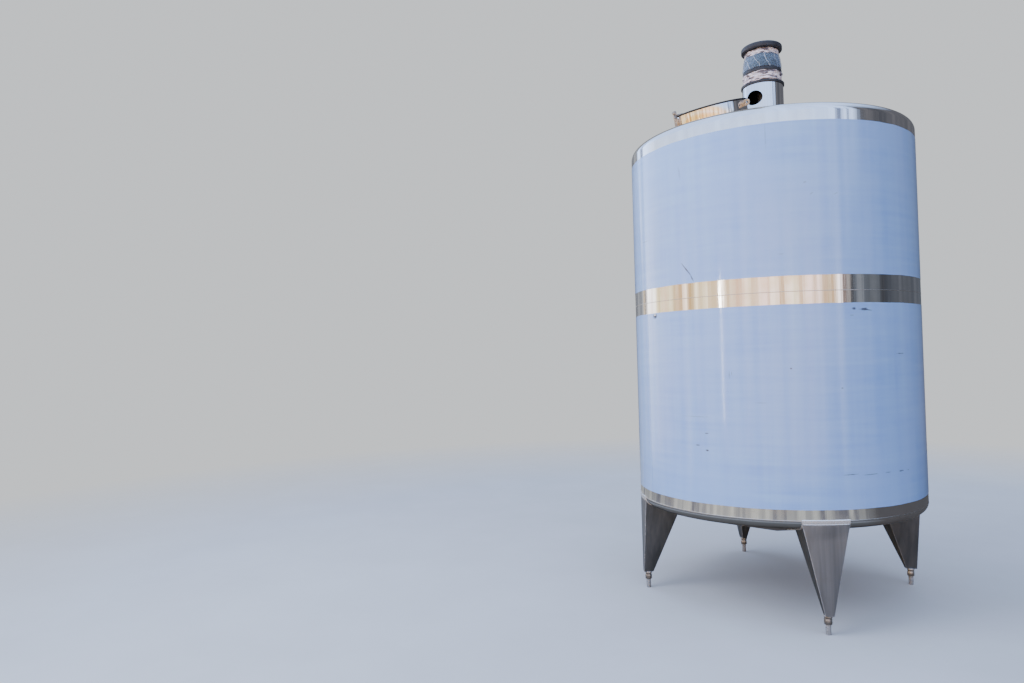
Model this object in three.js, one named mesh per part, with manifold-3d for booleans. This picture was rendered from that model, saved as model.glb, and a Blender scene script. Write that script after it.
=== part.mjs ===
// Vertical stainless steel storage tank on four tapered legs, with a closed manway and a
// top-mounted agitator drive on a round stool. Millimetres, +Z up, origin on the tank's axis at
// ground level. The legs stand on the diagonals, and the manway is on the -Y side of the roof.
import * as THREE from 'three';
import { mergeVertices } from 'three/addons/utils/BufferGeometryUtils.js';
import Module from 'manifold-3d';

const wasm = await Module();
wasm.setup();

// Fits: the gap that touching pieces keep, and the number of flats on a round piece
const GAP = 0.3;
const TANK_SIDES = 72;
const PIPE_SIDES = 48;
const BOLT_SIDES = 16;
const HATCH_SIDES = 32;

// Tank body
const TANK_RADIUS = 870;
const PLATE = 3;
const BOTTOM_EDGE_Z = 610;
const MIDDLE_WELD_Z = 1850;
const ROOF_EDGE_Z = 2838;
const ROOF_KNUCKLE = 48;
const BOTTOM_KNUCKLE = 50;
const ROOF_SLOPE = THREE.MathUtils.degToRad(15);
const BOTTOM_SLOPE = THREE.MathUtils.degToRad(14);
const KNUCKLE_STEPS = 4;

// Protective film on the two courses
const FILM_THICKNESS = 0.7;
const FILM_LOWER_Z = [670, 1781];
const FILM_UPPER_Z = [1936, 2780];

// Legs: plan sizes at the two heights between which the plates taper
const LEG_ANGLES = { leg_front_right: -45, leg_back_right: 45, leg_back_left: 135, leg_front_left: -135 };
const LEG_TOP = { z: 585, outer: 863, depth: 246, width: 251, innerWidth: 216 };
const LEG_FOOT = { z: 105, outer: 873, depth: 63, width: 49, innerWidth: 30 };
const LEG_CUT_Z = 620;
const PAD_WIDTH = 256;
const PAD_Z = [400, 613];
const PAD_RADII = [620, 920];
const FOOT_DISTANCE = 842;
const CAP_RADIUS = 25;
const CAP_THICKNESS = 5;
const SLEEVE_RADIUS = 21;
const SLEEVE_BOTTOM_Z = 57;
const GROOVE_RADIUS = 16.5;
const GROOVE_Z = [84, 91];
const POST_RADIUS = 14;

// Manway: its centre on the roof, and sizes along its own axis, which is square to the cone. The
// hinge and the two clamp lugs stand a third of a turn apart round the neck.
const MANWAY_ANGLE = THREE.MathUtils.degToRad(-95.8);
const MANWAY_DISTANCE = 537;
const MANWAY_TURN = THREE.MathUtils.degToRad(154.8);
const NECK_RADIUS = 220;
const NECK_HEIGHT = 62;
const NECK_ROOT = -60;
const GASKET_HEIGHT = 5;
const GASKET_RADII = [212, 222];
const LID_RADIUS = 222;
const LID_FLAT_RADIUS = 182;
const LID_PLATE = 4;
const LID_CROWN = 8;
const PIN_RADIUS = 5;
const PIN_PLAY = 0.6;
const PIN_OVERHANG = 4;
const PIN_DISTANCE = 237;
const PIN_HEIGHT = 92;
const LUG_THICKNESS = 8;
const LUG_FOOT_Z = 5;
const LUG_STEP_Z = 56;
const LUG_END_RADIUS = 10;
const EAR_Y = [5, 11];
const EAR_THICKNESS = 8;
const BARREL_RADIUS = 10;
const BRIDGE_X = [-214, -184];
const CLAMP_ANGLES = { clamp_lug_right: -60, clamp_lug_back: 60 };
const CLAMP_THICKNESS = 6;
const CLAMP_HOLE_DISTANCE = 249;
const CLAMP_HOLE_Z = 39;
const CLAMP_HOLE_RADIUS = 7;
const CLAMP_END_RADIUS = 18;
const PLATE_CURVE_STEPS = 8;

// Stool and drive on the tank's axis
const STOOL_RADIUS = 129;
const STOOL_PLATE = 4;
const STOOL_TOP_Z = 3271;
const HATCH_ANGLE = THREE.MathUtils.degToRad(-86.8);
const HATCH_HALF = { width: 54, height: 47 };
const HATCH_Z = 3179;
const FLANGE_RADII = [40, 136];
const FLANGE_TOP_Z = 3287;
const SHAFT_RADIUS = 25;
const COUPLING_RADIUS = 45;
const COUPLING_Z = [3150, 3232];
const SHAFT_BOTTOM_Z = 3020;
const SEAL_RADIUS = 60;
const SEAL_TOP_Z = 3128;
const DRIVE_BASE_RADIUS = 112;
const DRIVE_RING_Z = [3352, 3375];
const DRIVE_RING_RADIUS = 122;
const MOTOR_RADIUS = 118;
const MOTOR_SHOULDER = { radius: 112, z: 3436 };
const MOTOR_NECK_RADIUS = 98;
const MOTOR_NECK_Z = 3476;
const COWL_Z = [3509, 3544];
const COWL_RADIUS = 129;
const COWL_EDGE = 8;
const WRAP_THICKNESS = 10;

// Colours and finishes
const polished = new THREE.MeshStandardMaterial({ color: 0xc9c4b8, roughness: 0.18, metalness: 1 });
const brushed = new THREE.MeshStandardMaterial({ color: 0x85888c, roughness: 0.42, metalness: 1 });
const film = new THREE.MeshStandardMaterial({ color: 0xb4c6e2, roughness: 0.5, metalness: 0 });
const rubber = new THREE.MeshStandardMaterial({ color: 0x2b2a28, roughness: 0.8, metalness: 0 });
const wrap = new THREE.MeshStandardMaterial({ color: 0xcdbfc3, roughness: 0.45, metalness: 0 });
const motorPaint = new THREE.MeshStandardMaterial({ color: 0x55677a, roughness: 0.45, metalness: 0.2 });
const darkPaint = new THREE.MeshStandardMaterial({ color: 0x34343a, roughness: 0.55, metalness: 0.2 });

const tank = new THREE.Group();

function addPiece(name, geometry, material, parent = tank) {
  const piece = new THREE.Mesh(geometry, material);
  piece.name = name;
  parent.add(piece);
  return piece;
}

// Merges a geometry's shared corners and drops the flat triangles at its poles
function weld(geometry) {
  const bare = geometry.clone();
  bare.deleteAttribute('normal');
  bare.deleteAttribute('uv');
  const merged = mergeVertices(bare, 1e-4);
  const corners = merged.index.array;
  const kept = [];
  for (let i = 0; i < corners.length; i += 3) {
    const [a, b, c] = corners.slice(i, i + 3);
    if (a !== b && b !== c && c !== a) kept.push(a, b, c);
  }
  merged.setIndex(kept);
  return merged;
}

function solid(geometry) {
  const welded = weld(geometry);
  return new wasm.Manifold(new wasm.Mesh({
    numProp: 3,
    vertProperties: Float32Array.from(welded.attributes.position.array),
    triVerts: Uint32Array.from(welded.index.array),
  }));
}

function geometryOf(body) {
  const mesh = body.getMesh();
  const geometry = new THREE.BufferGeometry();
  geometry.setAttribute('position', new THREE.BufferAttribute(mesh.vertProperties, 3));
  geometry.setIndex(new THREE.BufferAttribute(mesh.triVerts, 1));
  return geometry;
}

// Turns a closed outline of [radius, height] points about Z. The outline runs anticlockwise, and
// one that starts and ends on the axis stays open there.
function revolve(outline, sides) {
  const points = outline.map(([r, z]) => new THREE.Vector2(r, z));
  const onAxis = outline[0][0] === 0 && outline[outline.length - 1][0] === 0;
  if (!onAxis) points.push(points[0].clone());
  return new THREE.LatheGeometry(points, sides).rotateX(Math.PI / 2);
}

function ring(inner, outer, low, high, sides) {
  return revolve([[inner, low], [outer, low], [outer, high], [inner, high]], sides);
}

function disc(radius, low, high, sides) {
  return revolve([[0, low], [radius, low], [radius, high], [0, high]], sides);
}

// A box between two values along each axis
function block(x, y, z) {
  const middle = [x, y, z].map(([low, high]) => (low + high) / 2);
  const size = [x, y, z].map(([low, high]) => high - low);
  return new THREE.BoxGeometry(...size).translate(...middle);
}

// The tank's outer profile, moved out by `offset`: the arcs between the wall and the two cones,
// each from the wall inwards. `side` is 1 at the roof and -1 at the bottom.
function knuckle(radius, slope, edgeZ, side, offset) {
  const points = [];
  for (let i = 0; i <= KNUCKLE_STEPS; i += 1) {
    const angle = (Math.PI / 2 - slope) * (i / KNUCKLE_STEPS);
    points.push([
      TANK_RADIUS - radius + (radius + offset) * Math.cos(angle),
      edgeZ + side * (radius + offset) * Math.sin(angle),
    ]);
  }
  return points;
}

function roofCurve(offset) {
  return knuckle(ROOF_KNUCKLE, ROOF_SLOPE, ROOF_EDGE_Z, 1, offset);
}

function bottomCurve(offset) {
  return knuckle(BOTTOM_KNUCKLE, BOTTOM_SLOPE, BOTTOM_EDGE_Z, -1, offset);
}

function roofHeight(radius, offset = 0) {
  const [edgeRadius, edgeZ] = roofCurve(offset).at(-1);
  return edgeZ + (edgeRadius - radius) * Math.tan(ROOF_SLOPE);
}

function bottomHeight(radius, offset = 0) {
  const [edgeRadius, edgeZ] = bottomCurve(offset).at(-1);
  return edgeZ - (edgeRadius - radius) * Math.tan(BOTTOM_SLOPE);
}

// Everything inside the tank's outer surface, grown by `offset`
function envelope(offset) {
  return revolve([
    [0, bottomHeight(0, offset)],
    ...bottomCurve(offset).reverse(),
    ...roofCurve(offset),
    [0, roofHeight(0, offset)],
  ], TANK_SIDES);
}

function addCourses() {
  const inner = TANK_RADIUS - PLATE;
  const middle = MIDDLE_WELD_Z;
  addPiece('shell_lower', ring(inner, TANK_RADIUS, BOTTOM_EDGE_Z, middle, TANK_SIDES), polished);
  addPiece('shell_upper', ring(inner, TANK_RADIUS, middle, ROOF_EDGE_Z, TANK_SIDES), polished);
  const filmInner = TANK_RADIUS + GAP;
  const filmOuter = filmInner + FILM_THICKNESS;
  addPiece('film_lower', ring(filmInner, filmOuter, ...FILM_LOWER_Z, TANK_SIDES), film);
  addPiece('film_upper', ring(filmInner, filmOuter, ...FILM_UPPER_Z, TANK_SIDES), film);
}

function addRoof(manway) {
  const skin = solid(revolve([
    [0, roofHeight(0, -PLATE)],
    ...roofCurve(-PLATE).reverse(),
    ...roofCurve(0),
    [0, roofHeight(0)],
  ], TANK_SIDES));
  const shaftHole = solid(disc(SHAFT_RADIUS + PLATE, SHAFT_BOTTOM_Z, SEAL_TOP_Z, PIPE_SIDES));
  const bore = disc(NECK_RADIUS - PLATE, NECK_ROOT, NECK_HEIGHT, PIPE_SIDES);
  const manwayHole = solid(bore.applyMatrix4(manway.matrix));
  addPiece('roof', geometryOf(skin.subtract(shaftHole).subtract(manwayHole)), polished);
}

function addBottom() {
  addPiece('bottom_head', revolve([
    [0, bottomHeight(0)],
    ...bottomCurve(0).reverse(),
    ...bottomCurve(-PLATE),
    [0, bottomHeight(0, -PLATE)],
  ], TANK_SIDES), polished);
}

// A box whose plan changes evenly from LEG_FOOT to LEG_TOP and on up to LEG_CUT_Z, with its
// outer face towards +X. `plate` moves all four faces inwards.
function taperedBox(low, plate) {
  const blank = new THREE.BoxGeometry(2, 2, 2);
  const corners = blank.attributes.position;
  for (let i = 0; i < corners.count; i += 1) {
    const z = corners.getZ(i) > 0 ? LEG_CUT_Z : low;
    const t = (z - LEG_FOOT.z) / (LEG_TOP.z - LEG_FOOT.z);
    const size = (key) => THREE.MathUtils.lerp(LEG_FOOT[key], LEG_TOP[key], t);
    const outside = corners.getX(i) > 0;
    const x = outside ? size('outer') - plate : size('outer') - size('depth') + plate;
    const half = (outside ? size('width') : size('innerWidth')) / 2 - plate;
    corners.setXYZ(i, x, Math.sign(corners.getY(i)) * half, z);
  }
  return blank;
}

function addLeg(name, angle) {
  const turn = THREE.MathUtils.degToRad(angle);
  const leg = new THREE.Group();
  leg.rotation.z = turn;
  tank.add(leg);
  const side = name.replace('leg_', '');

  const unturned = (body) => body.rotate([0, 0, -angle]);
  const padOuter = PLATE + GAP;
  const padZone = block(PAD_RADII, [-PAD_WIDTH / 2, PAD_WIDTH / 2], PAD_Z);
  const padSkin = solid(envelope(padOuter)).subtract(solid(envelope(GAP)));
  addPiece(`leg_pad_${side}`, geometryOf(unturned(padSkin).intersect(solid(padZone))), brushed, leg);

  const walls = solid(taperedBox(LEG_FOOT.z, 0)).subtract(solid(taperedBox(LEG_FOOT.z - 1, PLATE)));
  const above = unturned(solid(envelope(padOuter + GAP)));
  addPiece(name, geometryOf(walls.subtract(above)), brushed, leg);

  const foot = new THREE.Group();
  foot.position.x = FOOT_DISTANCE;
  leg.add(foot);
  const capTop = LEG_FOOT.z - GAP;
  const capBottom = capTop - CAP_THICKNESS;
  const sleeveTop = capBottom - GAP;
  const bore = POST_RADIUS + GAP;
  addPiece(`foot_cap_${side}`, disc(CAP_RADIUS, capBottom, capTop, BOLT_SIDES), brushed, foot);
  addPiece(`foot_sleeve_${side}`, revolve([
    [bore, SLEEVE_BOTTOM_Z],
    [SLEEVE_RADIUS, SLEEVE_BOTTOM_Z],
    [SLEEVE_RADIUS, GROOVE_Z[0]],
    [GROOVE_RADIUS, GROOVE_Z[0]],
    [GROOVE_RADIUS, GROOVE_Z[1]],
    [SLEEVE_RADIUS, GROOVE_Z[1]],
    [SLEEVE_RADIUS, sleeveTop],
    [bore, sleeveTop],
  ], BOLT_SIDES), polished, foot);
  addPiece(`foot_post_${side}`, disc(POST_RADIUS, 0, sleeveTop, BOLT_SIDES), brushed, foot);
}

// The manway's own frame: +Z square to the roof, -X towards the hinge
function manwayFrame() {
  const frame = new THREE.Group();
  frame.position.set(
    MANWAY_DISTANCE * Math.cos(MANWAY_ANGLE),
    MANWAY_DISTANCE * Math.sin(MANWAY_ANGLE),
    roofHeight(MANWAY_DISTANCE),
  );
  frame.rotation.set(0, ROOF_SLOPE, MANWAY_ANGLE, 'ZYX');
  frame.rotateZ(MANWAY_TURN);
  frame.updateMatrix();
  tank.add(frame);
  return frame;
}

// A plate of the given outline in the XZ plane, from y = low to y = low + thickness
function plateXZ(shape, low, thickness) {
  return new THREE.ExtrudeGeometry(shape, {
    depth: thickness,
    bevelEnabled: false,
    curveSegments: PLATE_CURVE_STEPS,
  }).rotateX(Math.PI / 2).translate(0, low + thickness, 0);
}

function shapeOf(points) {
  return new THREE.Shape(points.map(([x, z]) => new THREE.Vector2(x, z)));
}

function cutHole(shape, x, z, radius) {
  shape.holes.push(new THREE.Path().absarc(x, z, radius, 0, 2 * Math.PI, true));
  return shape;
}

function addManway(manway) {
  const outside = solid(envelope(GAP)).transform(manway.matrix.clone().invert().elements);
  const neck = solid(ring(NECK_RADIUS - PLATE, NECK_RADIUS, NECK_ROOT, NECK_HEIGHT, PIPE_SIDES));
  addPiece('manway_neck', geometryOf(neck.subtract(outside)), polished, manway);
  const gasketLow = NECK_HEIGHT + GAP;
  const gasketTop = gasketLow + GASKET_HEIGHT;
  addPiece('manway_gasket', ring(...GASKET_RADII, gasketLow, gasketTop, PIPE_SIDES), rubber, manway);
  const lidLow = gasketTop + GAP;
  const lidTop = lidLow + LID_PLATE;
  addPiece('manway_lid', revolve([
    [0, lidLow + LID_CROWN],
    [LID_FLAT_RADIUS, lidLow],
    [LID_RADIUS, lidLow],
    [LID_RADIUS, lidTop],
    [LID_FLAT_RADIUS, lidTop],
    [0, lidTop + LID_CROWN],
  ], PIPE_SIDES), polished, manway);
  addHinge(manway, lidTop + GAP);
  addClampLugs(manway);
}

// One tall lug on the neck, and a forked arm on the lid with an ear on each side of it
function addHinge(manway, armLow) {
  const weldLine = -(NECK_RADIUS + GAP);
  const front = LUG_END_RADIUS - PIN_DISTANCE;
  const lug = shapeOf([
    [weldLine, LUG_FOOT_Z],
    [weldLine, LUG_STEP_Z],
    [front, LUG_STEP_Z],
    [front, PIN_HEIGHT],
  ]);
  lug.absarc(-PIN_DISTANCE, PIN_HEIGHT, LUG_END_RADIUS, 0, Math.PI, false);
  lug.lineTo(-PIN_DISTANCE - LUG_END_RADIUS, LUG_FOOT_Z);
  cutHole(lug, -PIN_DISTANCE, PIN_HEIGHT, PIN_RADIUS + GAP);
  addPiece('hinge_lug', plateXZ(lug, -LUG_THICKNESS / 2, LUG_THICKNESS), brushed, manway);

  const pinLength = 2 * (EAR_Y[1] + PIN_OVERHANG);
  const pin = new THREE.CylinderGeometry(PIN_RADIUS, PIN_RADIUS, pinLength, BOLT_SIDES);
  addPiece('hinge_pin', pin.translate(-PIN_DISTANCE, 0, PIN_HEIGHT), brushed, manway);

  const armTop = armLow + EAR_THICKNESS;
  const barrelFront = BARREL_RADIUS - PIN_DISTANCE;
  const ear = shapeOf([
    [-PIN_DISTANCE, PIN_HEIGHT - BARREL_RADIUS],
    [barrelFront, armLow],
    [BRIDGE_X[1], armLow],
    [BRIDGE_X[1], armTop],
    [barrelFront, armTop],
    [barrelFront, PIN_HEIGHT],
  ]);
  ear.absarc(-PIN_DISTANCE, PIN_HEIGHT, BARREL_RADIUS, 0, 1.5 * Math.PI, false);
  cutHole(ear, -PIN_DISTANCE, PIN_HEIGHT, PIN_RADIUS + PIN_PLAY);
  const earWidth = EAR_Y[1] - EAR_Y[0];
  const arm = solid(plateXZ(ear, EAR_Y[0], earWidth))
    .add(solid(plateXZ(ear, -EAR_Y[1], earWidth)))
    .add(solid(block(BRIDGE_X, [-EAR_Y[1], EAR_Y[1]], [armLow, armTop])));
  addPiece('lid_hinge_arm', geometryOf(arm), brushed, manway);
}

// Round-ended plates with a hole, just under the rim
function addClampLugs(manway) {
  const weldLine = NECK_RADIUS + GAP;
  const low = CLAMP_HOLE_Z - CLAMP_END_RADIUS;
  const high = CLAMP_HOLE_Z + CLAMP_END_RADIUS;
  const lug = shapeOf([[weldLine, low], [CLAMP_HOLE_DISTANCE, low]]);
  lug.absarc(CLAMP_HOLE_DISTANCE, CLAMP_HOLE_Z, CLAMP_END_RADIUS, -Math.PI / 2, Math.PI / 2, false);
  lug.lineTo(weldLine, high);
  cutHole(lug, CLAMP_HOLE_DISTANCE, CLAMP_HOLE_Z, CLAMP_HOLE_RADIUS);
  for (const [name, angle] of Object.entries(CLAMP_ANGLES)) {
    const plate = plateXZ(lug, -CLAMP_THICKNESS / 2, CLAMP_THICKNESS);
    addPiece(name, plate.rotateZ(THREE.MathUtils.degToRad(angle)), brushed, manway);
  }
}

function addStool() {
  const wall = solid(ring(STOOL_RADIUS - STOOL_PLATE, STOOL_RADIUS, ROOF_EDGE_Z, STOOL_TOP_Z, PIPE_SIDES));
  const { width, height } = HATCH_HALF;
  const cutter = new THREE.CylinderGeometry(height, height, STOOL_RADIUS, HATCH_SIDES)
    .rotateZ(Math.PI / 2)
    .scale(1, width / height, 1)
    .translate(STOOL_RADIUS, 0, HATCH_Z)
    .rotateZ(HATCH_ANGLE);
  const roofTop = solid(envelope(GAP));
  addPiece('stool', geometryOf(wall.subtract(roofTop).subtract(solid(cutter))), polished);
  addPiece('stool_flange', ring(...FLANGE_RADII, STOOL_TOP_Z, FLANGE_TOP_Z, PIPE_SIDES), darkPaint);

  const seal = solid(ring(SHAFT_RADIUS + GAP, SEAL_RADIUS, ROOF_EDGE_Z, SEAL_TOP_Z, PIPE_SIDES));
  addPiece('shaft_seal', geometryOf(seal.subtract(roofTop)), brushed);
  addPiece('drive_shaft', revolve([
    [0, SHAFT_BOTTOM_Z],
    [SHAFT_RADIUS, SHAFT_BOTTOM_Z],
    [SHAFT_RADIUS, COUPLING_Z[0]],
    [COUPLING_RADIUS, COUPLING_Z[0]],
    [COUPLING_RADIUS, COUPLING_Z[1]],
    [SHAFT_RADIUS, COUPLING_Z[1]],
    [SHAFT_RADIUS, FLANGE_TOP_Z],
    [0, FLANGE_TOP_Z],
  ], PIPE_SIDES), brushed);
}

// A ring of crumpled film round the drive, between two heights
function addWrap(name, radius, low, high) {
  const inner = radius + GAP;
  addPiece(name, ring(inner, inner + WRAP_THICKNESS, low + GAP, high - GAP, PIPE_SIDES), wrap);
}

function addDrive() {
  addPiece('drive_base', disc(DRIVE_BASE_RADIUS, FLANGE_TOP_Z, DRIVE_RING_Z[0], PIPE_SIDES), motorPaint);
  addWrap('wrap_lower', DRIVE_BASE_RADIUS, FLANGE_TOP_Z, DRIVE_RING_Z[0]);
  addPiece('drive_ring', disc(DRIVE_RING_RADIUS, ...DRIVE_RING_Z, PIPE_SIDES), darkPaint);
  addPiece('motor_body', revolve([
    [0, DRIVE_RING_Z[1]],
    [MOTOR_RADIUS, DRIVE_RING_Z[1]],
    [MOTOR_SHOULDER.radius, MOTOR_SHOULDER.z],
    [MOTOR_NECK_RADIUS, MOTOR_NECK_Z],
    [MOTOR_NECK_RADIUS, COWL_Z[0]],
    [0, COWL_Z[0]],
  ], PIPE_SIDES), motorPaint);
  addWrap('wrap_upper', MOTOR_NECK_RADIUS, MOTOR_NECK_Z, COWL_Z[0]);
  addPiece('fan_cowl', revolve([
    [0, COWL_Z[0]],
    [COWL_RADIUS, COWL_Z[0]],
    [COWL_RADIUS, COWL_Z[1] - COWL_EDGE],
    [COWL_RADIUS - COWL_EDGE, COWL_Z[1]],
    [0, COWL_Z[1]],
  ], PIPE_SIDES), darkPaint);
}

addCourses();
const manway = manwayFrame();
addRoof(manway);
addBottom();
for (const [name, angle] of Object.entries(LEG_ANGLES)) addLeg(name, angle);
addManway(manway);
addStool();
addDrive();

export default tank;
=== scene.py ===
# %% [markdown]
# A stainless steel storage tank, dressed in cells. The solids of the tank come in as a fixed frame: they
# are right in size and place, but faceted and plain. Each step below makes a smooth, finished piece where a
# plain solid stands, and gives it a finish made from nodes. This first step loads the frame and bakes each
# solid's place into its mesh. Nothing made here may outgrow it.

# %% Load the frame
import math

import bmesh
import bpy
from mathutils import Matrix, Vector, noise


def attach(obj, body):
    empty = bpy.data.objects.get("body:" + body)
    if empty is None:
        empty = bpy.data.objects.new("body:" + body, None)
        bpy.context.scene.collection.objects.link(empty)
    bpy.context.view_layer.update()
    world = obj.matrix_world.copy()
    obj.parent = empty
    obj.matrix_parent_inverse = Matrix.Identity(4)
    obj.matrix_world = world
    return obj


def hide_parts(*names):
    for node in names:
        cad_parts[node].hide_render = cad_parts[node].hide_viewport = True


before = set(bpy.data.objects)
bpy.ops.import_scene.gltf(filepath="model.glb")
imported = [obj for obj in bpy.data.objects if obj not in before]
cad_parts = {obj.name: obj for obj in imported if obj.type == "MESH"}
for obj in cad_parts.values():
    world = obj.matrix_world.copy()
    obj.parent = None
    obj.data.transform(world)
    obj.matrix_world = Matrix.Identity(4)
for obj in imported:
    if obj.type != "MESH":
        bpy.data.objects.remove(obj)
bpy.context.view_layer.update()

# %% [markdown]
# The camera stands where the photographer stood, about five metres from the tank with the eye at
# 1.5 m. A camera can be aimed with a Track To constraint, but three measured angles and the focal
# length give the same picture on every run, so its axes are written as the columns of a matrix.

# %% Camera
def new_object(name, data):
    """Makes an object at the origin and links it to the scene."""
    made = bpy.data.objects.new(name, data)
    bpy.context.collection.objects.link(made)
    return made


EYE = Vector((2.4019, -4.4796, 1.5250))
YAW, PITCH, ROLL = (math.radians(angle) for angle in (-47.7696, 1.3230, -1.4237))
FOCAL_LENGTH_MM = 25.6

forward = Vector((math.sin(YAW) * math.cos(PITCH), math.cos(YAW) * math.cos(PITCH), math.sin(PITCH)))
level_right = Vector((math.cos(YAW), -math.sin(YAW), 0))
level_up = level_right.cross(forward)
right = math.cos(ROLL) * level_right + math.sin(ROLL) * level_up
up = math.cos(ROLL) * level_up - math.sin(ROLL) * level_right

camera = new_object("camera", bpy.data.cameras.new("camera"))
axes = Matrix((right, up, -forward)).transposed()
camera.matrix_world = Matrix.Translation(EYE) @ axes.to_4x4()
camera.data.lens = FOCAL_LENGTH_MM
bpy.context.scene.camera = camera
print("camera looks along", [round(value, 3) for value in forward])

# %% [markdown]
# Finishes are node trees, and a few helpers keep their cells short. `feed` fills a node's inputs, `put`
# adds a node and fills it, and `maths`, `vectors`, `rescale` and `spots` are the four nodes used most.
# `new_group` starts a node group with named sockets. A group is worth its extra lines where several
# finishes share an effect, such as grain or dust.

# %% Node helpers
VECTOR, FLOAT = "NodeSocketVector", "NodeSocketFloat"


def feed(tree, node, inputs):
    """Fills a node's inputs. A node socket is joined, and anything else is the input's value."""
    for key, value in inputs.items():
        if isinstance(value, bpy.types.NodeSocket):
            tree.links.new(value, node.inputs[key])
        else:
            node.inputs[key].default_value = value


def put(tree, kind, inputs=None, **settings):
    """Adds a shader node, changes its settings and fills its inputs."""
    node = tree.nodes.new("ShaderNode" + kind)
    for key, value in settings.items():
        setattr(node, key, value)
    feed(tree, node, inputs or {})
    return node


def maths(tree, operation, *values):
    """The result of a Math node."""
    return put(tree, "Math", dict(enumerate(values)), operation=operation).outputs[0]


def vectors(tree, operation, *values):
    """The result of a Vector Math node, which is a number for a length or a dot product."""
    node = put(tree, "VectorMath", dict(enumerate(values)), operation=operation)
    return node.outputs["Value" if operation in ("LENGTH", "DOT_PRODUCT") else "Vector"]


def rescale(tree, value, start, end, low=0.0, high=1.0):
    """A Map Range node: start turns into low and end into high, and nothing goes beyond them."""
    return put(tree, "MapRange", {"Value": value, 1: start, 2: end, 3: low, 4: high}).outputs[0]


def spots(tree, position, scale, detail, **more):
    """The value of a noise texture."""
    inputs = {"Vector": position, "Scale": scale, "Detail": detail, **more}
    return put(tree, "TexNoise", inputs).outputs["Fac"]


def product(tree, first, *others):
    """Multiplies colours or vectors, part by part."""
    for other in others:
        first = vectors(tree, "MULTIPLY", first, other)
    return first


def levelled(tree, direction):
    """The compass direction of a vector: laid flat and made one unit long."""
    return vectors(tree, "NORMALIZE", product(tree, direction, (1.0, 1.0, 0.0)))


def bearing_and_height(tree, position):
    """The bearing of a position about Z, in radians from +X, and its height."""
    parts = put(tree, "SeparateXYZ", {0: position}).outputs
    return maths(tree, "ARCTAN2", parts["Y"], parts["X"]), parts["Z"]


def ramp_of(tree, share, stops):
    """A colour ramp through (place, tint) stops."""
    node = put(tree, "ValToRGB", {"Fac": share})
    elements = node.color_ramp.elements
    while len(elements) < len(stops):
        elements.new(0.5)
    for element, (place, tint) in zip(elements, stops):
        element.position = place
        element.color = (*tint, 1)
    return node.outputs["Color"]


def new_group(name, inputs, output):
    """Starts a group from {input's name: socket kind}. Returns its tree, its inputs and its output."""
    tree = bpy.data.node_groups.new(name, "ShaderNodeTree")
    for label, kind in inputs.items():
        tree.interface.new_socket(label, in_out="INPUT", socket_type=kind)
    tree.interface.new_socket(output, in_out="OUTPUT", socket_type=FLOAT)
    source = tree.nodes.new("NodeGroupInput")
    result = tree.nodes.new("NodeGroupOutput")
    return tree, source.outputs, result.inputs[output]


def use(tree, group, **inputs):
    """Places a group in a tree and returns its output."""
    return put(tree, "Group", inputs, node_tree=group).outputs[0]


print("node helpers ready")

# %% [markdown]
# Rolled sheet is never quite flat: along the tank it runs true, but round it there are soft waves,
# and they draw reflections out into upright streaks. A noise squeezed along Z gives such waves.
# The same noise, much finer, is the grain that a belt leaves on brushed steel.

# %% Streaks group
streaks, source, result = new_group(
    "streaks", {"Position": VECTOR, "Across": FLOAT, "Along": FLOAT, "Detail": FLOAT}, "Height")
stretch = put(streaks, "CombineXYZ", {0: source["Across"], 1: source["Across"], 2: source["Along"]})
stretched = product(streaks, source["Position"], stretch.outputs[0])
streaks.links.new(spots(streaks, stretched, 1.0, source["Detail"]), result)
print("streaks:", len(streaks.nodes), "nodes")

# %% [markdown]
# Bright steel shows its surroundings drawn out into upright bars, because the wall is straight up and
# down and round the other way. The bars depend on the compass direction alone, which a noise reads.
# The world and the floor share this group.

# %% Bars group
bars, source, result = new_group("bars", {"Direction": VECTOR, "Count": FLOAT}, "Mask")
rough_bars = spots(bars, levelled(bars, source["Direction"]), source["Count"], 2.5, Roughness=0.6)
bars.links.new(rescale(bars, rough_bars, 0.36, 0.64), result)
print("bars:", len(bars.nodes), "nodes")

# %% [markdown]
# Standing outside leaves a thin, patchy haze on everything. One mask serves all the finishes: a noise
# with fine detail, cut off below a level. `Amount` moves that level, so a clean piece and a dusty one
# can share the group.

# %% Haze group
haze, source, result = new_group("haze", {"Position": VECTOR, "Scale": FLOAT, "Amount": FLOAT}, "Mask")
patches = spots(haze, source["Position"], source["Scale"], 7.0, Roughness=0.62)
level = maths(haze, "SUBTRACT", 0.85, source["Amount"])
ceiling = maths(haze, "ADD", level, 0.35)
haze.links.new(rescale(haze, patches, level, ceiling), result)
print("haze:", len(haze.nodes), "nodes")

# %% [markdown]
# Single marks, such as a scratch or a dried drop, sit at known places. The group measures how far a
# point lies from the mark's centre, in units of the mark's own size, and fades out at its ragged edge.

# %% Mark group
mark, source, result = new_group(
    "mark", {"Position": VECTOR, "Centre": VECTOR, "Size": VECTOR, "Tilt": FLOAT}, "Mask")
offset = vectors(mark, "SUBTRACT", source["Position"], source["Centre"])
tilted = put(mark, "VectorRotate", {"Vector": offset, "Axis": (0.0, 1.0, 0.0), "Angle": source["Tilt"]})
reach = vectors(mark, "LENGTH", vectors(mark, "DIVIDE", tilted.outputs[0], source["Size"]))
ragged_reach = maths(mark, "ADD", reach, spots(mark, source["Position"], 60.0, 2.0))
mark.links.new(rescale(mark, ragged_reach, 1.6, 0.9), result)
print("mark:", len(mark.nodes), "nodes")

# %% [markdown]
# Each finish is a Principled BSDF with its patterns on Object coordinates. Every piece has its object
# at the origin, so these are the tank's own metres, and a streak runs on from one piece to the next.
# Most metals and paints differ only in their numbers: `hazy_finish` makes a surface that haze dulls in
# patches, with a colour and a roughness for either state.


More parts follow.
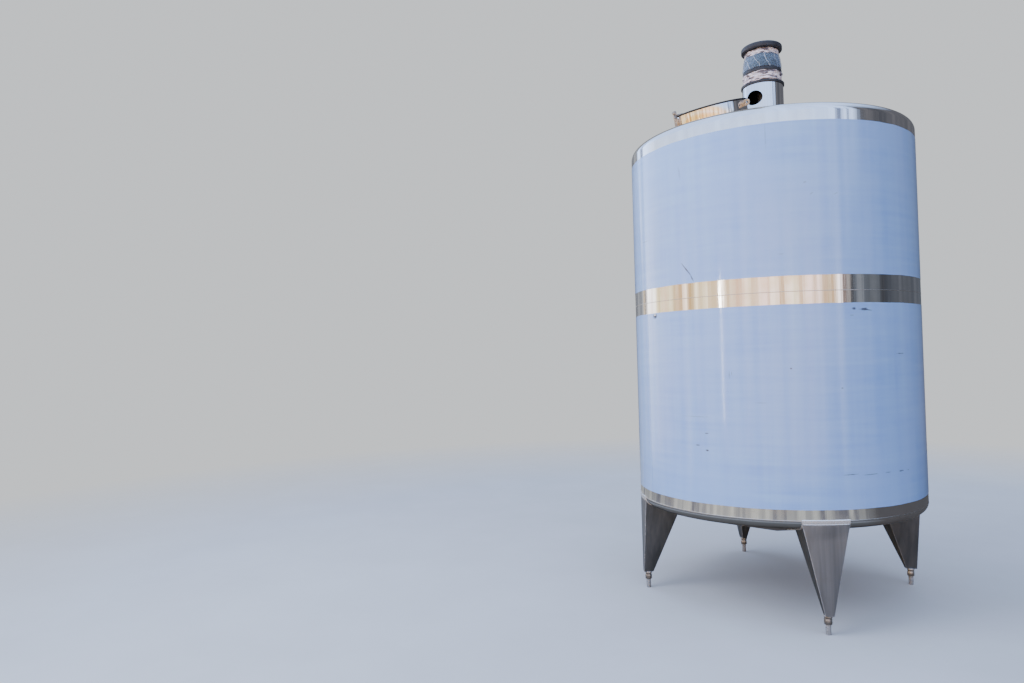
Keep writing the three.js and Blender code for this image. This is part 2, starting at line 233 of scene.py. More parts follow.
def new_finish(name, slot, **constants):
    """Starts a material. The constants go straight onto the shader's sockets."""
    finish = bpy.data.materials.new(name)
    finish.use_nodes = True
    tree = finish.node_tree
    shader = tree.nodes["Principled BSDF"]
    for label, value in constants.items():
        shader.inputs[label.replace("_", " ")].default_value = value
    position = put(tree, "TexCoord").outputs["Object"]
    return finish, tree, shader, position


def blend_colour(tree, mask, low, high):
    """Mixes two colours by a mask. A colour is a socket or three numbers."""
    pair = [colour if isinstance(colour, bpy.types.NodeSocket) else (*colour, 1) for colour in (low, high)]
    return put(tree, "Mix", {0: mask, 6: pair[0], 7: pair[1]}, data_type="RGBA").outputs[2]


def span(tree, mask, low, high):
    """Turns a mask from 0 to 1 into a value from low to high."""
    return rescale(tree, mask, 0.0, 1.0, low, high)


def relief(tree, shader, height, strength, distance):
    """Feeds a height to the shader's normal through a Bump node."""
    bump = put(tree, "Bump", {"Height": height, "Strength": strength, "Distance": distance})
    tree.links.new(bump.outputs[0], shader.inputs["Normal"])


def hazy_finish(name, slot, scale, amount, rough, clean, dulled, **constants):
    """Starts a finish with patches of haze, which take it to the second roughness and colour."""
    finish, tree, shader, position = new_finish(name, slot, **constants)
    dull = use(tree, haze, Position=position, Scale=scale, Amount=amount)
    tone = blend_colour(tree, dull, clean, dulled)
    feed(tree, shader, {"Base Color": tone, "Roughness": span(tree, dull, *rough)})
    return finish, tree, shader, position


print("finish helpers ready")

# %% [markdown]
# Polished sheet covers the wall, the roof, the bottom, the manway and the stool. It is fully Metallic
# with a low Roughness, and only looks like steel when its reflections wander a little, so the streaks
# bend its normal.

# %% Polished steel
polished, tree, shader, position = hazy_finish("polished_steel", "polished_steel", 5.0, 0.42,
    (0.06, 0.18), (0.84, 0.83, 0.82), (0.72, 0.71, 0.69), Metallic=1.0)
waviness = use(tree, streaks, Position=position, Across=16.0, Along=0.5, Detail=4.0)
relief(tree, shader, waviness, 0.15, 0.006)
print("polished steel ready")

# %% [markdown]
# The legs are brushed sheet. The belt ran up and down, so the grain is very long along Z and about a
# millimetre across. It breaks up the roughness, and wider bands and dirt vary the colour.

# %% Brushed steel
brushed, tree, shader, position = new_finish("brushed_steel", "brushed_steel", Metallic=0.94)
grain = use(tree, streaks, Position=position, Across=900.0, Along=6.0, Detail=3.0)
bands = use(tree, streaks, Position=position, Across=30.0, Along=1.2, Detail=4.0)
dirt = use(tree, haze, Position=position, Scale=9.0, Amount=0.36)
sheen = blend_colour(tree, rescale(tree, bands, 0.32, 0.68), (0.200, 0.214, 0.232), (0.300, 0.316, 0.336))
tone = blend_colour(tree, dirt, sheen, (0.24, 0.245, 0.25))
feed(tree, shader, {"Base Color": tone, "Roughness": span(tree, grain, 0.42, 0.58)})
relief(tree, shader, grain, 0.25, 0.0006)
print("brushed steel ready")

# %% [markdown]
# The pads, the level welds, the legs' folds and the feet are painted bright: a pale finish that is only
# partly metal stands in for the highlight that rounded steel catches, so it shows whichever way it is seen.
# The soft painted highlight, on the folds and the feet, is a shade darker, and dressed plate is darker
# still and warmer. The near-black finish is painted shade, for the lid's edge, the inside of the stool and
# the shaft. Round weld beads keep the fine scales of the weld pool, which also stand up as relief.

# %% Painted highlights, dressed plate and painted shade
# Each has its Metallic, the scale and amount of its marks, two roughnesses and two colours
PAINTED_LIGHT_AND_DRESSED_STEEL = {
    "painted_highlight_steel": (0.55, 24.0, 0.40, (0.24, 0.38), (0.90, 0.88, 0.86), (0.74, 0.72, 0.71)),
    "painted_soft_highlight_steel": (0.62, 24.0, 0.40, (0.24, 0.38), (0.84, 0.83, 0.84), (0.66, 0.65, 0.66)),
    "dressed_plate": (0.88, 60.0, 0.52, (0.28, 0.46), (0.62, 0.58, 0.53), (0.26, 0.24, 0.22)),
    "painted_shade_steel": (1.0, 40.0, 0.50, (0.45, 0.62), (0.055, 0.062, 0.080), (0.10, 0.10, 0.11)),
}
# The first two finishes are painted highlights, and the last, near black, is painted shade
painted_highlight, painted_soft_highlight, dressed, painted_shade = (
    hazy_finish(name, "brushed_steel", *look, Metallic=metallic)[0]
    for name, (metallic, *look) in PAINTED_LIGHT_AND_DRESSED_STEEL.items()
)

weld, tree, shader, position = new_finish("weld_bead", "brushed_steel", Metallic=1.0)
scales = spots(tree, position, 260.0, 2.0)
tone = blend_colour(tree, scales, (0.42, 0.41, 0.40), (0.66, 0.65, 0.63))
feed(tree, shader, {"Base Color": tone, "Roughness": span(tree, scales, 0.25, 0.50)})
relief(tree, shader, scales, 0.5, 0.001)
print("worked steels:", sorted(PAINTED_LIGHT_AND_DRESSED_STEEL))

# %% [markdown]
# The wall's film has been handled: it has a scratch, smears, dashes and a dried drop. Random dirt would
# be easier, but these stand at known places, so a table says where each one is. Its middle half size
# lies along Y, and only has to be deep enough to reach the wall on both sides of the centre.

# %% Marks on the film
# Each mark has a centre, its half sizes, its tilt in degrees and how strongly it shows
FILM_MARKS = (
    # A long scratch over the left of the middle band
    ((-0.046, -0.87, 2.016), (0.056, 0.05, 0.0048), -50, 1.0),
    ((-0.01, -0.871, 1.965), (0.026, 0.05, 0.0045), -62, 1.0),
    # Smears and scratches on the right, under the middle band
    ((0.767, -0.414, 1.745), (0.026, 0.03, 0.0078), 4, 1.0),
    ((0.778, -0.394, 1.741), (0.026, 0.03, 0.0042), -14, 1.0),
    ((0.736, -0.466, 1.748), (0.0095, 0.02, 0.0085), 0, 1.0),
    ((0.728, -0.478, 1.712), (0.01, 0.02, 0.004), 0, 0.3),
    ((0.855, -0.164, 1.499), (0.013, 0.045, 0.0028), 0, 0.9),
    # Strokes and dots in the middle of the lower sheet
    ((0.199, -0.848, 1.403), (0.0022, 0.02, 0.023), 0, 0.6),
    ((0.212, -0.845, 1.409), (0.0018, 0.02, 0.015), 0, 0.4),
    ((0.495, -0.717, 1.432), (0.006, 0.02, 0.005), 0, 1.0),
    ((0.688, -0.534, 1.321), (0.005, 0.02, 0.0045), 0, 0.6),
    # Dashes on the left of the lower sheet
    ((0.056, -0.869, 1.07), (0.015, 0.02, 0.0035), 3, 0.9),
    ((-0.005, -0.871, 0.999), (0.016, 0.02, 0.005), 0, 0.7),
    ((0.057, -0.869, 0.973), (0.011, 0.02, 0.0048), 0, 1.0),
    # A row of dashes low on the right
    ((0.709, -0.506, 0.856), (0.036, 0.05, 0.0026), 3, 0.8),
    ((0.771, -0.405, 0.851), (0.03, 0.06, 0.0026), 3, 0.7),
    ((0.818, -0.298, 0.854), (0.01, 0.04, 0.003), 0, 0.6),
    ((0.849, -0.195, 0.853), (0.008, 0.028, 0.005), 0, 0.9),
    ((0.861, -0.132, 0.852), (0.004, 0.014, 0.003), 0, 0.5),
    # Faint lines, and specks on the upper sheet
    ((0.355, -0.795, 1.247), (0.032, 0.04, 0.0026), 0, 0.35),
    ((-0.007, -0.871, 1.163), (0.095, 0.05, 0.004), 0, 0.22),
    ((0.576, -0.653, 2.44), (0.008, 0.02, 0.006), 30, 0.3),
    ((0.6, -0.631, 2.377), (0.011, 0.02, 0.003), 40, 0.35),
    ((0.69, -0.532, 2.375), (0.016, 0.02, 0.003), 35, 0.25),
    ((0.469, -0.734, 2.056), (0.016, 0.02, 0.0026), 0, 0.35),
    ((-0.078, -0.867, 2.592), (0.009, 0.02, 0.042), 8, 0.22),
    ((0.416, -0.765, 2.712), (0.0028, 0.02, 0.085), 0, 0.25),
    ((-0.418, -0.764, 2.239), (0.07, 0.06, 0.0022), 0, 0.45),
)
DROP = {"Centre": (-0.326, -0.808, 1.769), "Size": (0.0105, 0.03, 0.0085)}
DROP_RIM = {"Centre": (-0.326, -0.808, 1.762), "Size": (0.024, 0.04, 0.0185)}
DIRT_COLOUR, RIM_COLOUR, DROP_COLOUR = (0.07, 0.09, 0.14), (0.02, 0.03, 0.05), (0.95, 0.96, 0.98)
print("marks on the film:", len(FILM_MARKS) + 2)

# %% [markdown]
# The wall is still under its peel-off film: a thin, pale blue plastic that turns the mirror below into
# a soft sheen. It isn't metal, so Metallic stays 0. A coat gives the gloss of the plastic skin, and
# long streaks show where air and glue lie uneven. The marks are then laid over it one by one. The
# drop's dark rim has no gloss, so it also turns down the coat.

# %% Protective film
film, tree, shader, position = new_finish("protective_film", "protective_film",
    Coat_Roughness=0.10, Coat_IOR=1.5, Coat_Weight=1.0)
air = use(tree, streaks, Position=position, Across=16.0, Along=0.6, Detail=4.0)
wiped = use(tree, streaks, Position=position, Across=2.0, Along=26.0, Detail=5.0)
cloud = use(tree, haze, Position=position, Scale=2.2, Amount=0.5)
uneven = rescale(tree, maths(tree, "ADD", air, wiped), 0.72, 1.28)
clear = blend_colour(tree, uneven, (0.230, 0.435, 0.92), (0.340, 0.580, 1.00))
colour = blend_colour(tree, cloud, clear, (0.33, 0.54, 0.98))
for centre, size, tilt, strength in FILM_MARKS:
    spot = use(tree, mark, Position=position, Centre=centre, Size=size, Tilt=math.radians(tilt))
    colour = blend_colour(tree, span(tree, spot, 0.0, strength), colour, DIRT_COLOUR)
rim_spot = use(tree, mark, Position=position, **DROP_RIM)
colour = blend_colour(tree, rim_spot, colour, RIM_COLOUR)
colour = blend_colour(tree, use(tree, mark, Position=position, **DROP), colour, DROP_COLOUR)
feed(tree, shader, {
    "Base Color": colour,
    "Roughness": span(tree, air, 0.34, 0.46),
    "Coat Weight": span(tree, rim_spot, 1.0, 0.1),
    "Specular IOR Level": span(tree, rim_spot, 0.5, 0.1),
})
relief(tree, shader, air, 0.14, 0.004)
print("film nodes:", len(tree.nodes))

# %% [markdown]
# The drive is wrapped in stretch film. Two finishes show it: many crumpled layers look pinkish white and
# opaque, with painted shade in their folds, and one stretched layer over the motor is clear with a painted
# highlight along its creases, so there the pattern drives Alpha.

# %% Stretch film
wrapping, tree, shader, position = new_finish("wrap_film", "wrap_film", Specular_IOR_Level=0.6)
folds = spots(tree, product(tree, position, (13.0, 13.0, 50.0)), 1.0, 2.0, Distortion=1.3)
crease_shading = rescale(tree, folds, 0.41, 0.54)
warmth = spots(tree, position, 12.0, 1.0)
layers = blend_colour(tree, warmth, (0.92, 0.88, 0.80), (0.92, 0.80, 0.96))
# The low side of each fold is painted dark: painted shade in the creases
tone = blend_colour(tree, crease_shading, (0.13, 0.11, 0.13), layers)
feed(tree, shader, {"Base Color": tone, "Roughness": span(tree, folds, 0.16, 0.42)})
relief(tree, shader, folds, 0.9, 0.008)

# The clear layer's folds lie about 33 degrees apart, slant a little over the drum and wander
CREASES, SLANT, WANDER = 11, 5.0, 1.6
clear_film, tree, shader, position = new_finish("clear_film", "wrap_film", Roughness=0.16)
bearing, height = bearing_and_height(tree, position)
turns = maths(tree, "MULTIPLY", bearing, CREASES / (2 * math.pi))
leaning = maths(tree, "MULTIPLY_ADD", height, SLANT, turns)
bent = spots(tree, position, 9.0, 2.0)
share = maths(tree, "FRACT", maths(tree, "MULTIPLY_ADD", bent, WANDER, leaning))
from_fold = maths(tree, "ABSOLUTE", maths(tree, "SUBTRACT", share, 0.5))
crease_and_glint = rescale(tree, from_fold, 0.055, 0.015)
edge_on = put(tree, "LayerWeight", {"Blend": 0.25}).outputs["Facing"]
cover = maths(tree, "MAXIMUM", span(tree, edge_on, 0.04, 0.75), span(tree, crease_and_glint, 0.0, 0.45))
# The creases are painted pale: a painted highlight along each fold, where the film also covers more
tone = blend_colour(tree, crease_and_glint, (0.30, 0.38, 0.52), (0.60, 0.66, 0.76))
feed(tree, shader, {"Base Color": tone, "Alpha": cover})
relief(tree, shader, bent, 0.6, 0.006)
print("stretch film ready")

# %% [markdown]
# Paint and rubber: the motor is slate blue enamel, the cowl, ring and flange are nearly black, and the
# manway's seal is rubber. Enamel is a smooth plastic skin with a faint orange peel, and dust lies on it.

# %% Enamel and rubber
def new_enamel(name, deep, dusty):
    """A dusty finish with the name given, deep below and paler in the dust."""
    finish, tree, shader, position = hazy_finish(name, name, 26.0, 0.5, (0.30, 0.58), deep, dusty,
        Specular_IOR_Level=0.32)
    relief(tree, shader, spots(tree, position, 420.0, 1.0), 0.2, 0.0006)
    return finish


motor_paint = new_enamel("motor_paint", (0.045, 0.085, 0.12), (0.085, 0.125, 0.16))
dark_paint = new_enamel("dark_paint", (0.019, 0.021, 0.027), (0.055, 0.058, 0.066))
rubber = new_enamel("black_rubber", (0.018, 0.017, 0.016), (0.05, 0.048, 0.045))
print("enamels ready")

# %% [markdown]
# Most of the tank is round, so most of its pieces are turned: an outline of radius and height is spun
# about an axis, as on a lathe. `turned` makes the outline from a few vertices and spins it. `soften`
# bevels every sharp edge, because no real edge is perfectly sharp and a bevel is what catches light.

# %% Shape helpers
FULL_TURN = 2 * math.pi
TANK_STEPS, PIPE_STEPS, SMALL_STEPS = 192, 96, 32
SAME_POINT = 1e-6


def toward(turn):
    """The level direction at an angle from +X."""
    return Vector((math.cos(turn), math.sin(turn), 0))


def turned(outline, steps, turn=FULL_TURN, start=0.0):
    """Spins a closed outline of (radius, height) points about Z."""
    bm = bmesh.new()
    way = toward(start)
    points = [bm.verts.new(radius * way + Vector((0, 0, height))) for radius, height in outline]
    edges = [bm.edges.new(pair) for pair in zip(points, points[1:] + points[:1])]
    full = turn == FULL_TURN
    bmesh.ops.spin(bm, geom=points + edges, axis=(0, 0, 1), angle=turn, steps=steps, use_merge=full)
    bmesh.ops.remove_doubles(bm, verts=bm.verts, dist=SAME_POINT)
    if not full:
        bmesh.ops.holes_fill(bm, edges=[edge for edge in bm.edges if edge.is_boundary])
    bmesh.ops.recalc_face_normals(bm, faces=bm.faces)
    return bm


def ring_outline(inner, outer, low, high):
    return [(inner, low), (outer, low), (outer, high), (inner, high)]


def round_off(bm, edges, width, segments, material=-1):
    """Bevels some edges. The new faces keep their neighbours' finish or take the one given."""
    bmesh.ops.bevel(bm, geom=edges, offset=width, segments=segments, profile=0.5,
        affect="EDGES", material=material, clamp_overlap=True)


def soften(bm, width, segments=2, angle=30):
    """Bevels the edges that are sharper than an angle in degrees."""
    limit = math.radians(angle)
    sharp = [edge for edge in bm.edges if edge.is_manifold and edge.calc_face_angle() > limit]
    round_off(bm, sharp, width, segments)


def mesh_of(bm, name):
    """Turns a bmesh into a mesh and frees it."""
    mesh = bpy.data.meshes.new(name)
    bm.to_mesh(mesh)
    bm.free()
    return mesh


def show(bm, name, finishes, body="tank", stands_for=(), smooth_below=35):
    """Turns a bmesh into a piece that rides on a body and takes its finishes."""
    mesh = mesh_of(bm, name)
    mesh.shade_smooth()
    mesh.set_sharp_from_angle(angle=math.radians(smooth_below))
    piece = new_object(name, mesh)
    finishes = finishes if isinstance(finishes, (list, tuple)) else [finishes]
    for finish in finishes:
        mesh.materials.append(finish)
    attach(piece, body)
    if stands_for:
        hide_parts(*stands_for)
    size = [round(value, 3) for value in piece.dimensions]
    print(name, "faces:", len(mesh.polygons), "size:", size)
    return piece


print("shape helpers ready")

# %% [markdown]
# The wall is two courses of 3 mm sheet, rolled and welded end to end. A cylinder primitive would have
# no thickness, and the inside shows through the open manway, so each course is a ring with both its
# faces. The welds between the sheets are dressed almost flat: a bead stands under a millimetre proud.

# %% Wall courses and round welds
TANK_RADIUS = 0.870
PLATE = 0.003
BOTTOM_EDGE, MIDDLE_WELD, ROOF_EDGE = 0.610, 1.850, 2.838
# How deep a weld is rooted in the plate, and how far an upright seam stands out
WELD_ROOT, SEAM_PROUD = 0.001, 0.00025

COURSES = {"lower": (BOTTOM_EDGE, MIDDLE_WELD), "upper": (MIDDLE_WELD, ROOF_EDGE)}
for name, (low, high) in COURSES.items():
    show(turned(ring_outline(TANK_RADIUS - PLATE, TANK_RADIUS, low, high), TANK_STEPS),
        f"wall_{name}", polished, stands_for=[f"shell_{name}"])


def bead_outline(radius, height, wide, proud):
    """The flat lens of a dressed weld that runs round a wall."""
    root, shoulder = radius - WELD_ROOT, radius + proud * 0.7
    return [(root, height - wide / 2), (shoulder, height - wide / 4), (radius + proud, height),
        (shoulder, height + wide / 4), (root, height + wide / 2)]


ROUND_WELDS = {"bottom": (BOTTOM_EDGE, 0.008, 0.0009), "middle": (MIDDLE_WELD, 0.006, 0.0005)}
for name, (height, wide, proud) in ROUND_WELDS.items():
    show(turned(bead_outline(TANK_RADIUS, height, wide, proud), TANK_STEPS), f"{name}_weld", weld)

SEAM_ANGLES = {"lower": 118.0, "upper": -62.5}
SEAM_SWEEP = 0.005 / TANK_RADIUS
for name, angle in SEAM_ANGLES.items():
    strip = ring_outline(TANK_RADIUS - WELD_ROOT, TANK_RADIUS + SEAM_PROUD, *COURSES[name])
    show(turned(strip, 2, SEAM_SWEEP, math.radians(angle) - SEAM_SWEEP / 2), f"{name}_seam", polished)

# %% [markdown]
# The roof and the bottom are shallow cones whose edges are flanged to a rolled knuckle. The knuckle is
# an arc in the outline, tangent to the wall and to the cone, so the highlight runs round without a
# kink. The helpers give the outline of either end and the height of its cone at any radius.

# %% Outlines of roof and bottom
BOTTOM_KNUCKLE, ROOF_SLOPE = 0.050, 15
# Each end has its knuckle's radius, the height of its edge, its slope in degrees and the way it bulges
ROOF = (0.048, ROOF_EDGE, ROOF_SLOPE, 1)
BOTTOM = (BOTTOM_KNUCKLE, BOTTOM_EDGE, 14, -1)
KNUCKLE_STEPS = 16
SHAFT_HOLE = 0.028


def arc(radius, height, bend, first, last, steps):
    """Points of an arc about (radius, height), from one angle to another in degrees."""
    angles = [math.radians(first + (last - first) * step / steps) for step in range(steps + 1)]
    return [(radius + bend * math.cos(angle), height + bend * math.sin(angle)) for angle in angles]


def knuckle_arc(end, offset=0.0):
    """The knuckle's arc from the wall to the cone, on a surface offset from its outside."""
    knuckle, edge, slope, bulge = end
    return arc(TANK_RADIUS - knuckle, edge, knuckle + offset, 0, bulge * (90 - slope), KNUCKLE_STEPS)


def cone_height(end, radius, offset=0.0):
    """The height of the cone at a radius, on a surface offset from its outside."""
    slope, bulge = end[2:]
    edge_radius, edge_height = knuckle_arc(end, offset)[-1]
    return edge_height + bulge * (edge_radius - radius) * math.tan(math.radians(slope))


def end_outline(end, rows):
    """The outline of one end: along its outside to the last row, and back along its inside."""
    outside = [(radius, cone_height(end, radius)) for radius in rows]
    inside = [(radius, cone_height(end, radius, -PLATE)) for radius in rows[::-1]]
    return knuckle_arc(end) + outside + inside + knuckle_arc(end, -PLATE)[::-1]


print("roof at the shaft's hole:", round(cone_height(ROOF, SHAFT_HOLE), 3), "m high")

# %% [markdown]
# The roof's hole for the manway is cut with a Boolean, as it is cut in the real sheet after the cone
# is rolled. The shaft's hole is on the axis, so there the outline simply ends.

# %% Roof and bottom
MANWAY_ANGLE, MANWAY_TURN = math.radians(-95.8), math.radians(154.8)
MANWAY_DISTANCE = 0.537
NECK_RADIUS = 0.220
NECK_BORE, BORE_DEPTH = NECK_RADIUS - PLATE, 0.14


def standing_at(turn, distance, height, tilt):
    """The frame of a piece that stands so far out at a turn, and is tilted outward by an angle."""
    place = Matrix.Translation((distance * math.cos(turn), distance * math.sin(turn), height))
    return place @ Matrix.Rotation(turn, 4, "Z") @ Matrix.Rotation(tilt, 4, "Y")


def drill(piece, radius, depth, steps, matrix):
    """Cuts a cylinder out of a piece with the Boolean modifier, and keeps the result."""
    drum = bmesh.new()
    bmesh.ops.create_cone(drum, cap_ends=True, segments=steps, radius1=radius, radius2=radius,
        depth=depth, matrix=matrix)
    tool = new_object("cutter", mesh_of(drum, "cutter"))
    cut = piece.modifiers.new("cut", "BOOLEAN")
    cut.operation = "DIFFERENCE"
    cut.solver = "EXACT"
    cut.object = tool
    bpy.context.view_layer.update()
    done = bpy.data.meshes.new_from_object(piece.evaluated_get(bpy.context.evaluated_depsgraph_get()))
    piece.modifiers.remove(cut)
    piece.data = done
    bpy.data.objects.remove(tool)
    print(piece.name, "after the cut:", len(done.polygons), "faces")


roof_rows = [0.75, 0.65, 0.55, 0.45, 0.35, 0.25, 0.15, SHAFT_HOLE]
roof = show(turned(end_outline(ROOF, roof_rows), TANK_STEPS), "roof_skin", polished, stands_for=["roof"])
roof_frame = standing_at(
    MANWAY_ANGLE, MANWAY_DISTANCE, cone_height(ROOF, MANWAY_DISTANCE), math.radians(ROOF_SLOPE))
manway_frame = roof_frame @ Matrix.Rotation(MANWAY_TURN, 4, "Z")
drill(roof, NECK_BORE, BORE_DEPTH, PIPE_STEPS, manway_frame)
show(turned(end_outline(BOTTOM, [0.4, 0.0]), TANK_STEPS), "bottom_skin", polished,
    stands_for=["bottom_head"])

# %% [markdown]
# The film lies on each course from weld to weld and leaves a bare band beside every weld. It was cut
# by hand, so its edges wander by a millimetre or two. Each sheet starts and ends at an upright slit,
# which a full spin would close: these are spun a little less than a full turn.

# %% Film on the wall
FILM_INSIDE, FILM_OUTSIDE = 0.8703, 0.8710
FILMS = {
    "film_sheet_lower": ("film_lower", 0.670, 1.781, -118.0),
    "film_sheet_upper": ("film_upper", 1.936, 2.780, -123.8),
}
FILM_ROWS = (0.0, 0.03, 0.25, 0.5, 0.75, 0.97, 1.0)
SLIT = math.radians(0.12)
CUT_WANDER, CUT_WAVES = 0.0016, 9
AT_EDGE = 1e-4
for name, (node, low, high, slit_angle) in FILMS.items():
    rows = [low + (high - low) * share for share in FILM_ROWS]
    outline = [(FILM_OUTSIDE, height) for height in rows]
    outline += [(FILM_INSIDE, height) for height in rows[::-1]]
    bm = turned(outline, TANK_STEPS * 2, FULL_TURN - SLIT, math.radians(slit_angle) + SLIT / 2)
    for vert in bm.verts:
        if min(vert.co.z - low, high - vert.co.z) < AT_EDGE:
            spot = Vector((vert.co.x * CUT_WAVES, vert.co.y * CUT_WAVES, low))
            vert.co.z += CUT_WANDER * noise.noise(spot)
    show(bm, name, film, stands_for=[node])

# %% [markdown]
# A leg is a tapered box folded from 3 mm sheet and cut at its top to fit the bottom. The CAD solid already
# has that cut, so the leg starts as a merged copy of it. Its folds are bevelled, and the bevel faces take
# the soft painted highlight: on the real leg the folds are the light lines that draw its shape, and a pale
# finish paints that highlight on them. The helpers here copy a solid and find its folds.

# %% Copies and folds
SIDE_ANGLES = {"front_right": -45, "back_right": 45, "back_left": 135, "front_left": -135}
SIDE_TURNS = {side: math.radians(angle) for side, angle in SIDE_ANGLES.items()}
FOLD_RADIUS = 0.0036
# A fold is steep and long, and turns by more than an angle
FOLD_STEEPNESS, FOLD_LENGTH, FOLD_ANGLE = 0.9, 0.2, math.radians(40)
# A CAD solid's vertices are farther apart than this, and its flat faces turn by less than this
COPY_MERGE, COPY_FLAT = 1e-5, math.radians(0.6)
# The flat front's distance from the axis at one height, its lean and the depth of its folds
LEG_FACE, LEG_FACE_HEIGHT, LEG_LEAN, FRONT_DEPTH = 0.863, 0.585, 0.0208, 0.0045


def copy_of(node):
    """A merged copy of a CAD node, with its flat faces made whole."""
    bm = bmesh.new()
    bm.from_mesh(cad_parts[node].data)
    bmesh.ops.remove_doubles(bm, verts=bm.verts, dist=COPY_MERGE)
    bmesh.ops.dissolve_limit(bm, angle_limit=COPY_FLAT, verts=bm.verts, edges=bm.edges)
    return bm


def across_from(turn):
    """The level direction a quarter turn further round."""
    return Vector((-math.sin(turn), math.cos(turn), 0))


def face_distance(height):
    """How far the flat front of a leg stands from the tank's axis at a height."""
    return LEG_FACE + (LEG_FACE_HEIGHT - height) * LEG_LEAN


def is_fold(edge):
    run = edge.verts[0].co - edge.verts[1].co
    upright = abs(run.z) > FOLD_STEEPNESS * run.length and run.length > FOLD_LENGTH
    return upright and edge.is_manifold and edge.is_convex and edge.calc_face_angle() > FOLD_ANGLE


print("the front leans out by", round(face_distance(0) - LEG_FACE, 4), "m down to the floor")

# %% [markdown]
# The front of the leg is flat, but its top edge is rolled to the tank's round and welded level. Moving
# points can do that where there are enough of them, so planes first cut the front into a grid. The
# higher a point stands, the further it is moved out onto the round.

# %% Legs
# The pad's outside, then the height, drop and radius of the rolled edge, and the grid under it
PAD_SKIN = 0.0036
CREST, CREST_DROP, CREST_RADIUS = 0.591, 0.02, 0.8708
ROLL_START, GRID_TOP, GRID_ROWS = 0.490, 0.580, 8
GRID_COLUMNS, GRID_STEP = 5, 0.021


def meeting_height(aside):
    """The height at which the flat front would meet the pad, so far aside from the leg's middle."""
    sunk = math.hypot(LEG_FACE, aside) - (TANK_RADIUS - BOTTOM_KNUCKLE)
    return BOTTOM_EDGE - math.sqrt(max((BOTTOM_KNUCKLE + PAD_SKIN) ** 2 - sunk ** 2, 0))


def slice_through(bm, point, normal, **options):
    """Cuts every face that a plane crosses."""
    geometry = bm.verts[:] + bm.edges[:] + bm.faces[:]
    return bmesh.ops.bisect_plane(
        bm, geom=geometry, dist=SAME_POINT, plane_co=point, plane_no=normal, **options)


def roll_crest(bm, outward, across):
    """Rolls the top of the leg's front to the tank's round, so that its edge runs level."""
    for row in range(1, GRID_ROWS):
        slice_through(bm, (0, 0, ROLL_START + (GRID_TOP - ROLL_START) * row / GRID_ROWS), (0, 0, 1))
    for column in range(-GRID_COLUMNS, GRID_COLUMNS + 1):
        slice_through(bm, across * column * GRID_STEP, across)
    for vert in bm.verts:
        ahead = vert.co.dot(outward) - face_distance(vert.co.z)
        if vert.co.z < ROLL_START or ahead < -FRONT_DEPTH:
            continue
        aside = vert.co.dot(across)
        meeting = max(meeting_height(aside), CREST - CREST_DROP)
        share = min((vert.co.z - ROLL_START) / (meeting - ROLL_START), 1.0)
        eased = share * share * (3 - 2 * share)
        round_front = math.sqrt(CREST_RADIUS ** 2 - aside ** 2)
        vert.co += outward * (round_front - face_distance(vert.co.z)) * eased
        vert.co.z = ROLL_START + (CREST - ROLL_START) * share


# The fold bevels take finish 1, the soft painted highlight
for side, turn in SIDE_TURNS.items():
    bm = copy_of(f"leg_{side}")
    round_off(bm, [edge for edge in bm.edges if is_fold(edge)], FOLD_RADIUS, 4, material=1)
    roll_crest(bm, toward(turn), across_from(turn))
    show(bm, f"folded_leg_{side}", [brushed, painted_soft_highlight], stands_for=[f"leg_{side}"], smooth_below=30)

# %% [markdown]
# The leg's top edge is welded to its pad with one level bead across the front. It is a narrow lens spun
# through the width of the leg, a little short of its corners. Like the pad, it takes the bright painted
# highlight.

# %% Weld along the top of each leg
LEG_WELD_HALF = 0.121
WELD_STEPS = 24


# A level weld takes the bright painted highlight
def level_weld(name, turn, half_width, radius, bead):
    """A bead over one side of the tank, so far to the left and right of the side's middle."""
    sweep = 2 * math.asin(half_width / radius)
    show(turned(bead, WELD_STEPS, sweep, turn - sweep / 2), name, painted_highlight)


# A bead has its radius, its height, its width and how proud it stands
leg_bead = bead_outline(CREST_RADIUS - 0.0004, CREST + 0.0006, 0.0046, 0.0018)
for side, turn in SIDE_TURNS.items():
    level_weld(f"leg_weld_{side}", turn, LEG_WELD_HALF, CREST_RADIUS, leg_bead)

# %% [markdown]
# Between leg and bottom lies a pad plate that spreads the load. It follows the knuckle, so it is spun from
# the same arc, a little further out, through the width of the leg, and its sides are then cut square by two
# planes. The pad and the fillet weld along its top edge take the bright painted highlight, where the
# knuckle's curve catches the light.

# %% Pads
PAD_HALF_WIDTH = 0.128
PAD_TOP = 0.613
PAD_INNER = 0.620
PAD_SWEEP, PAD_STEPS = math.radians(30), 40
# The room between a piece and the one that it lies on
GAP = 0.0003


def cut_flat(bm, point, normal):
    """Cuts off what lies beyond a plane and closes the cut."""
    made = slice_through(bm, point, normal, clear_outer=True)
    rim = [item for item in made["geom_cut"] if isinstance(item, bmesh.types.BMEdge)]
    bmesh.ops.holes_fill(bm, edges=rim)


low, high = GAP, PLATE + GAP
pad_outline = [(TANK_RADIUS + low, PAD_TOP), (TANK_RADIUS + high, PAD_TOP)] + knuckle_arc(BOTTOM, high)
pad_outline += [(PAD_INNER, cone_height(BOTTOM, PAD_INNER, offset)) for offset in (high, low)]
pad_outline += knuckle_arc(BOTTOM, low)[::-1]
pad_bead = bead_outline(TANK_RADIUS + 0.001, PAD_TOP + 0.0005, 0.0085, 0.0035)
# The pad takes the bright painted highlight
for side, turn in SIDE_TURNS.items():
    across = across_from(turn)
    bm = turned(pad_outline, PAD_STEPS, PAD_SWEEP, turn - PAD_SWEEP / 2)
    cut_flat(bm, across * PAD_HALF_WIDTH, across)
    cut_flat(bm, across * -PAD_HALF_WIDTH, -across)
    bmesh.ops.recalc_face_normals(bm, faces=bm.faces)
    show(bm, f"pad_plate_{side}", painted_highlight, stands_for=[f"leg_pad_{side}"])
    level_weld(f"pad_weld_{side}", turn, PAD_HALF_WIDTH, TANK_RADIUS, pad_bead)
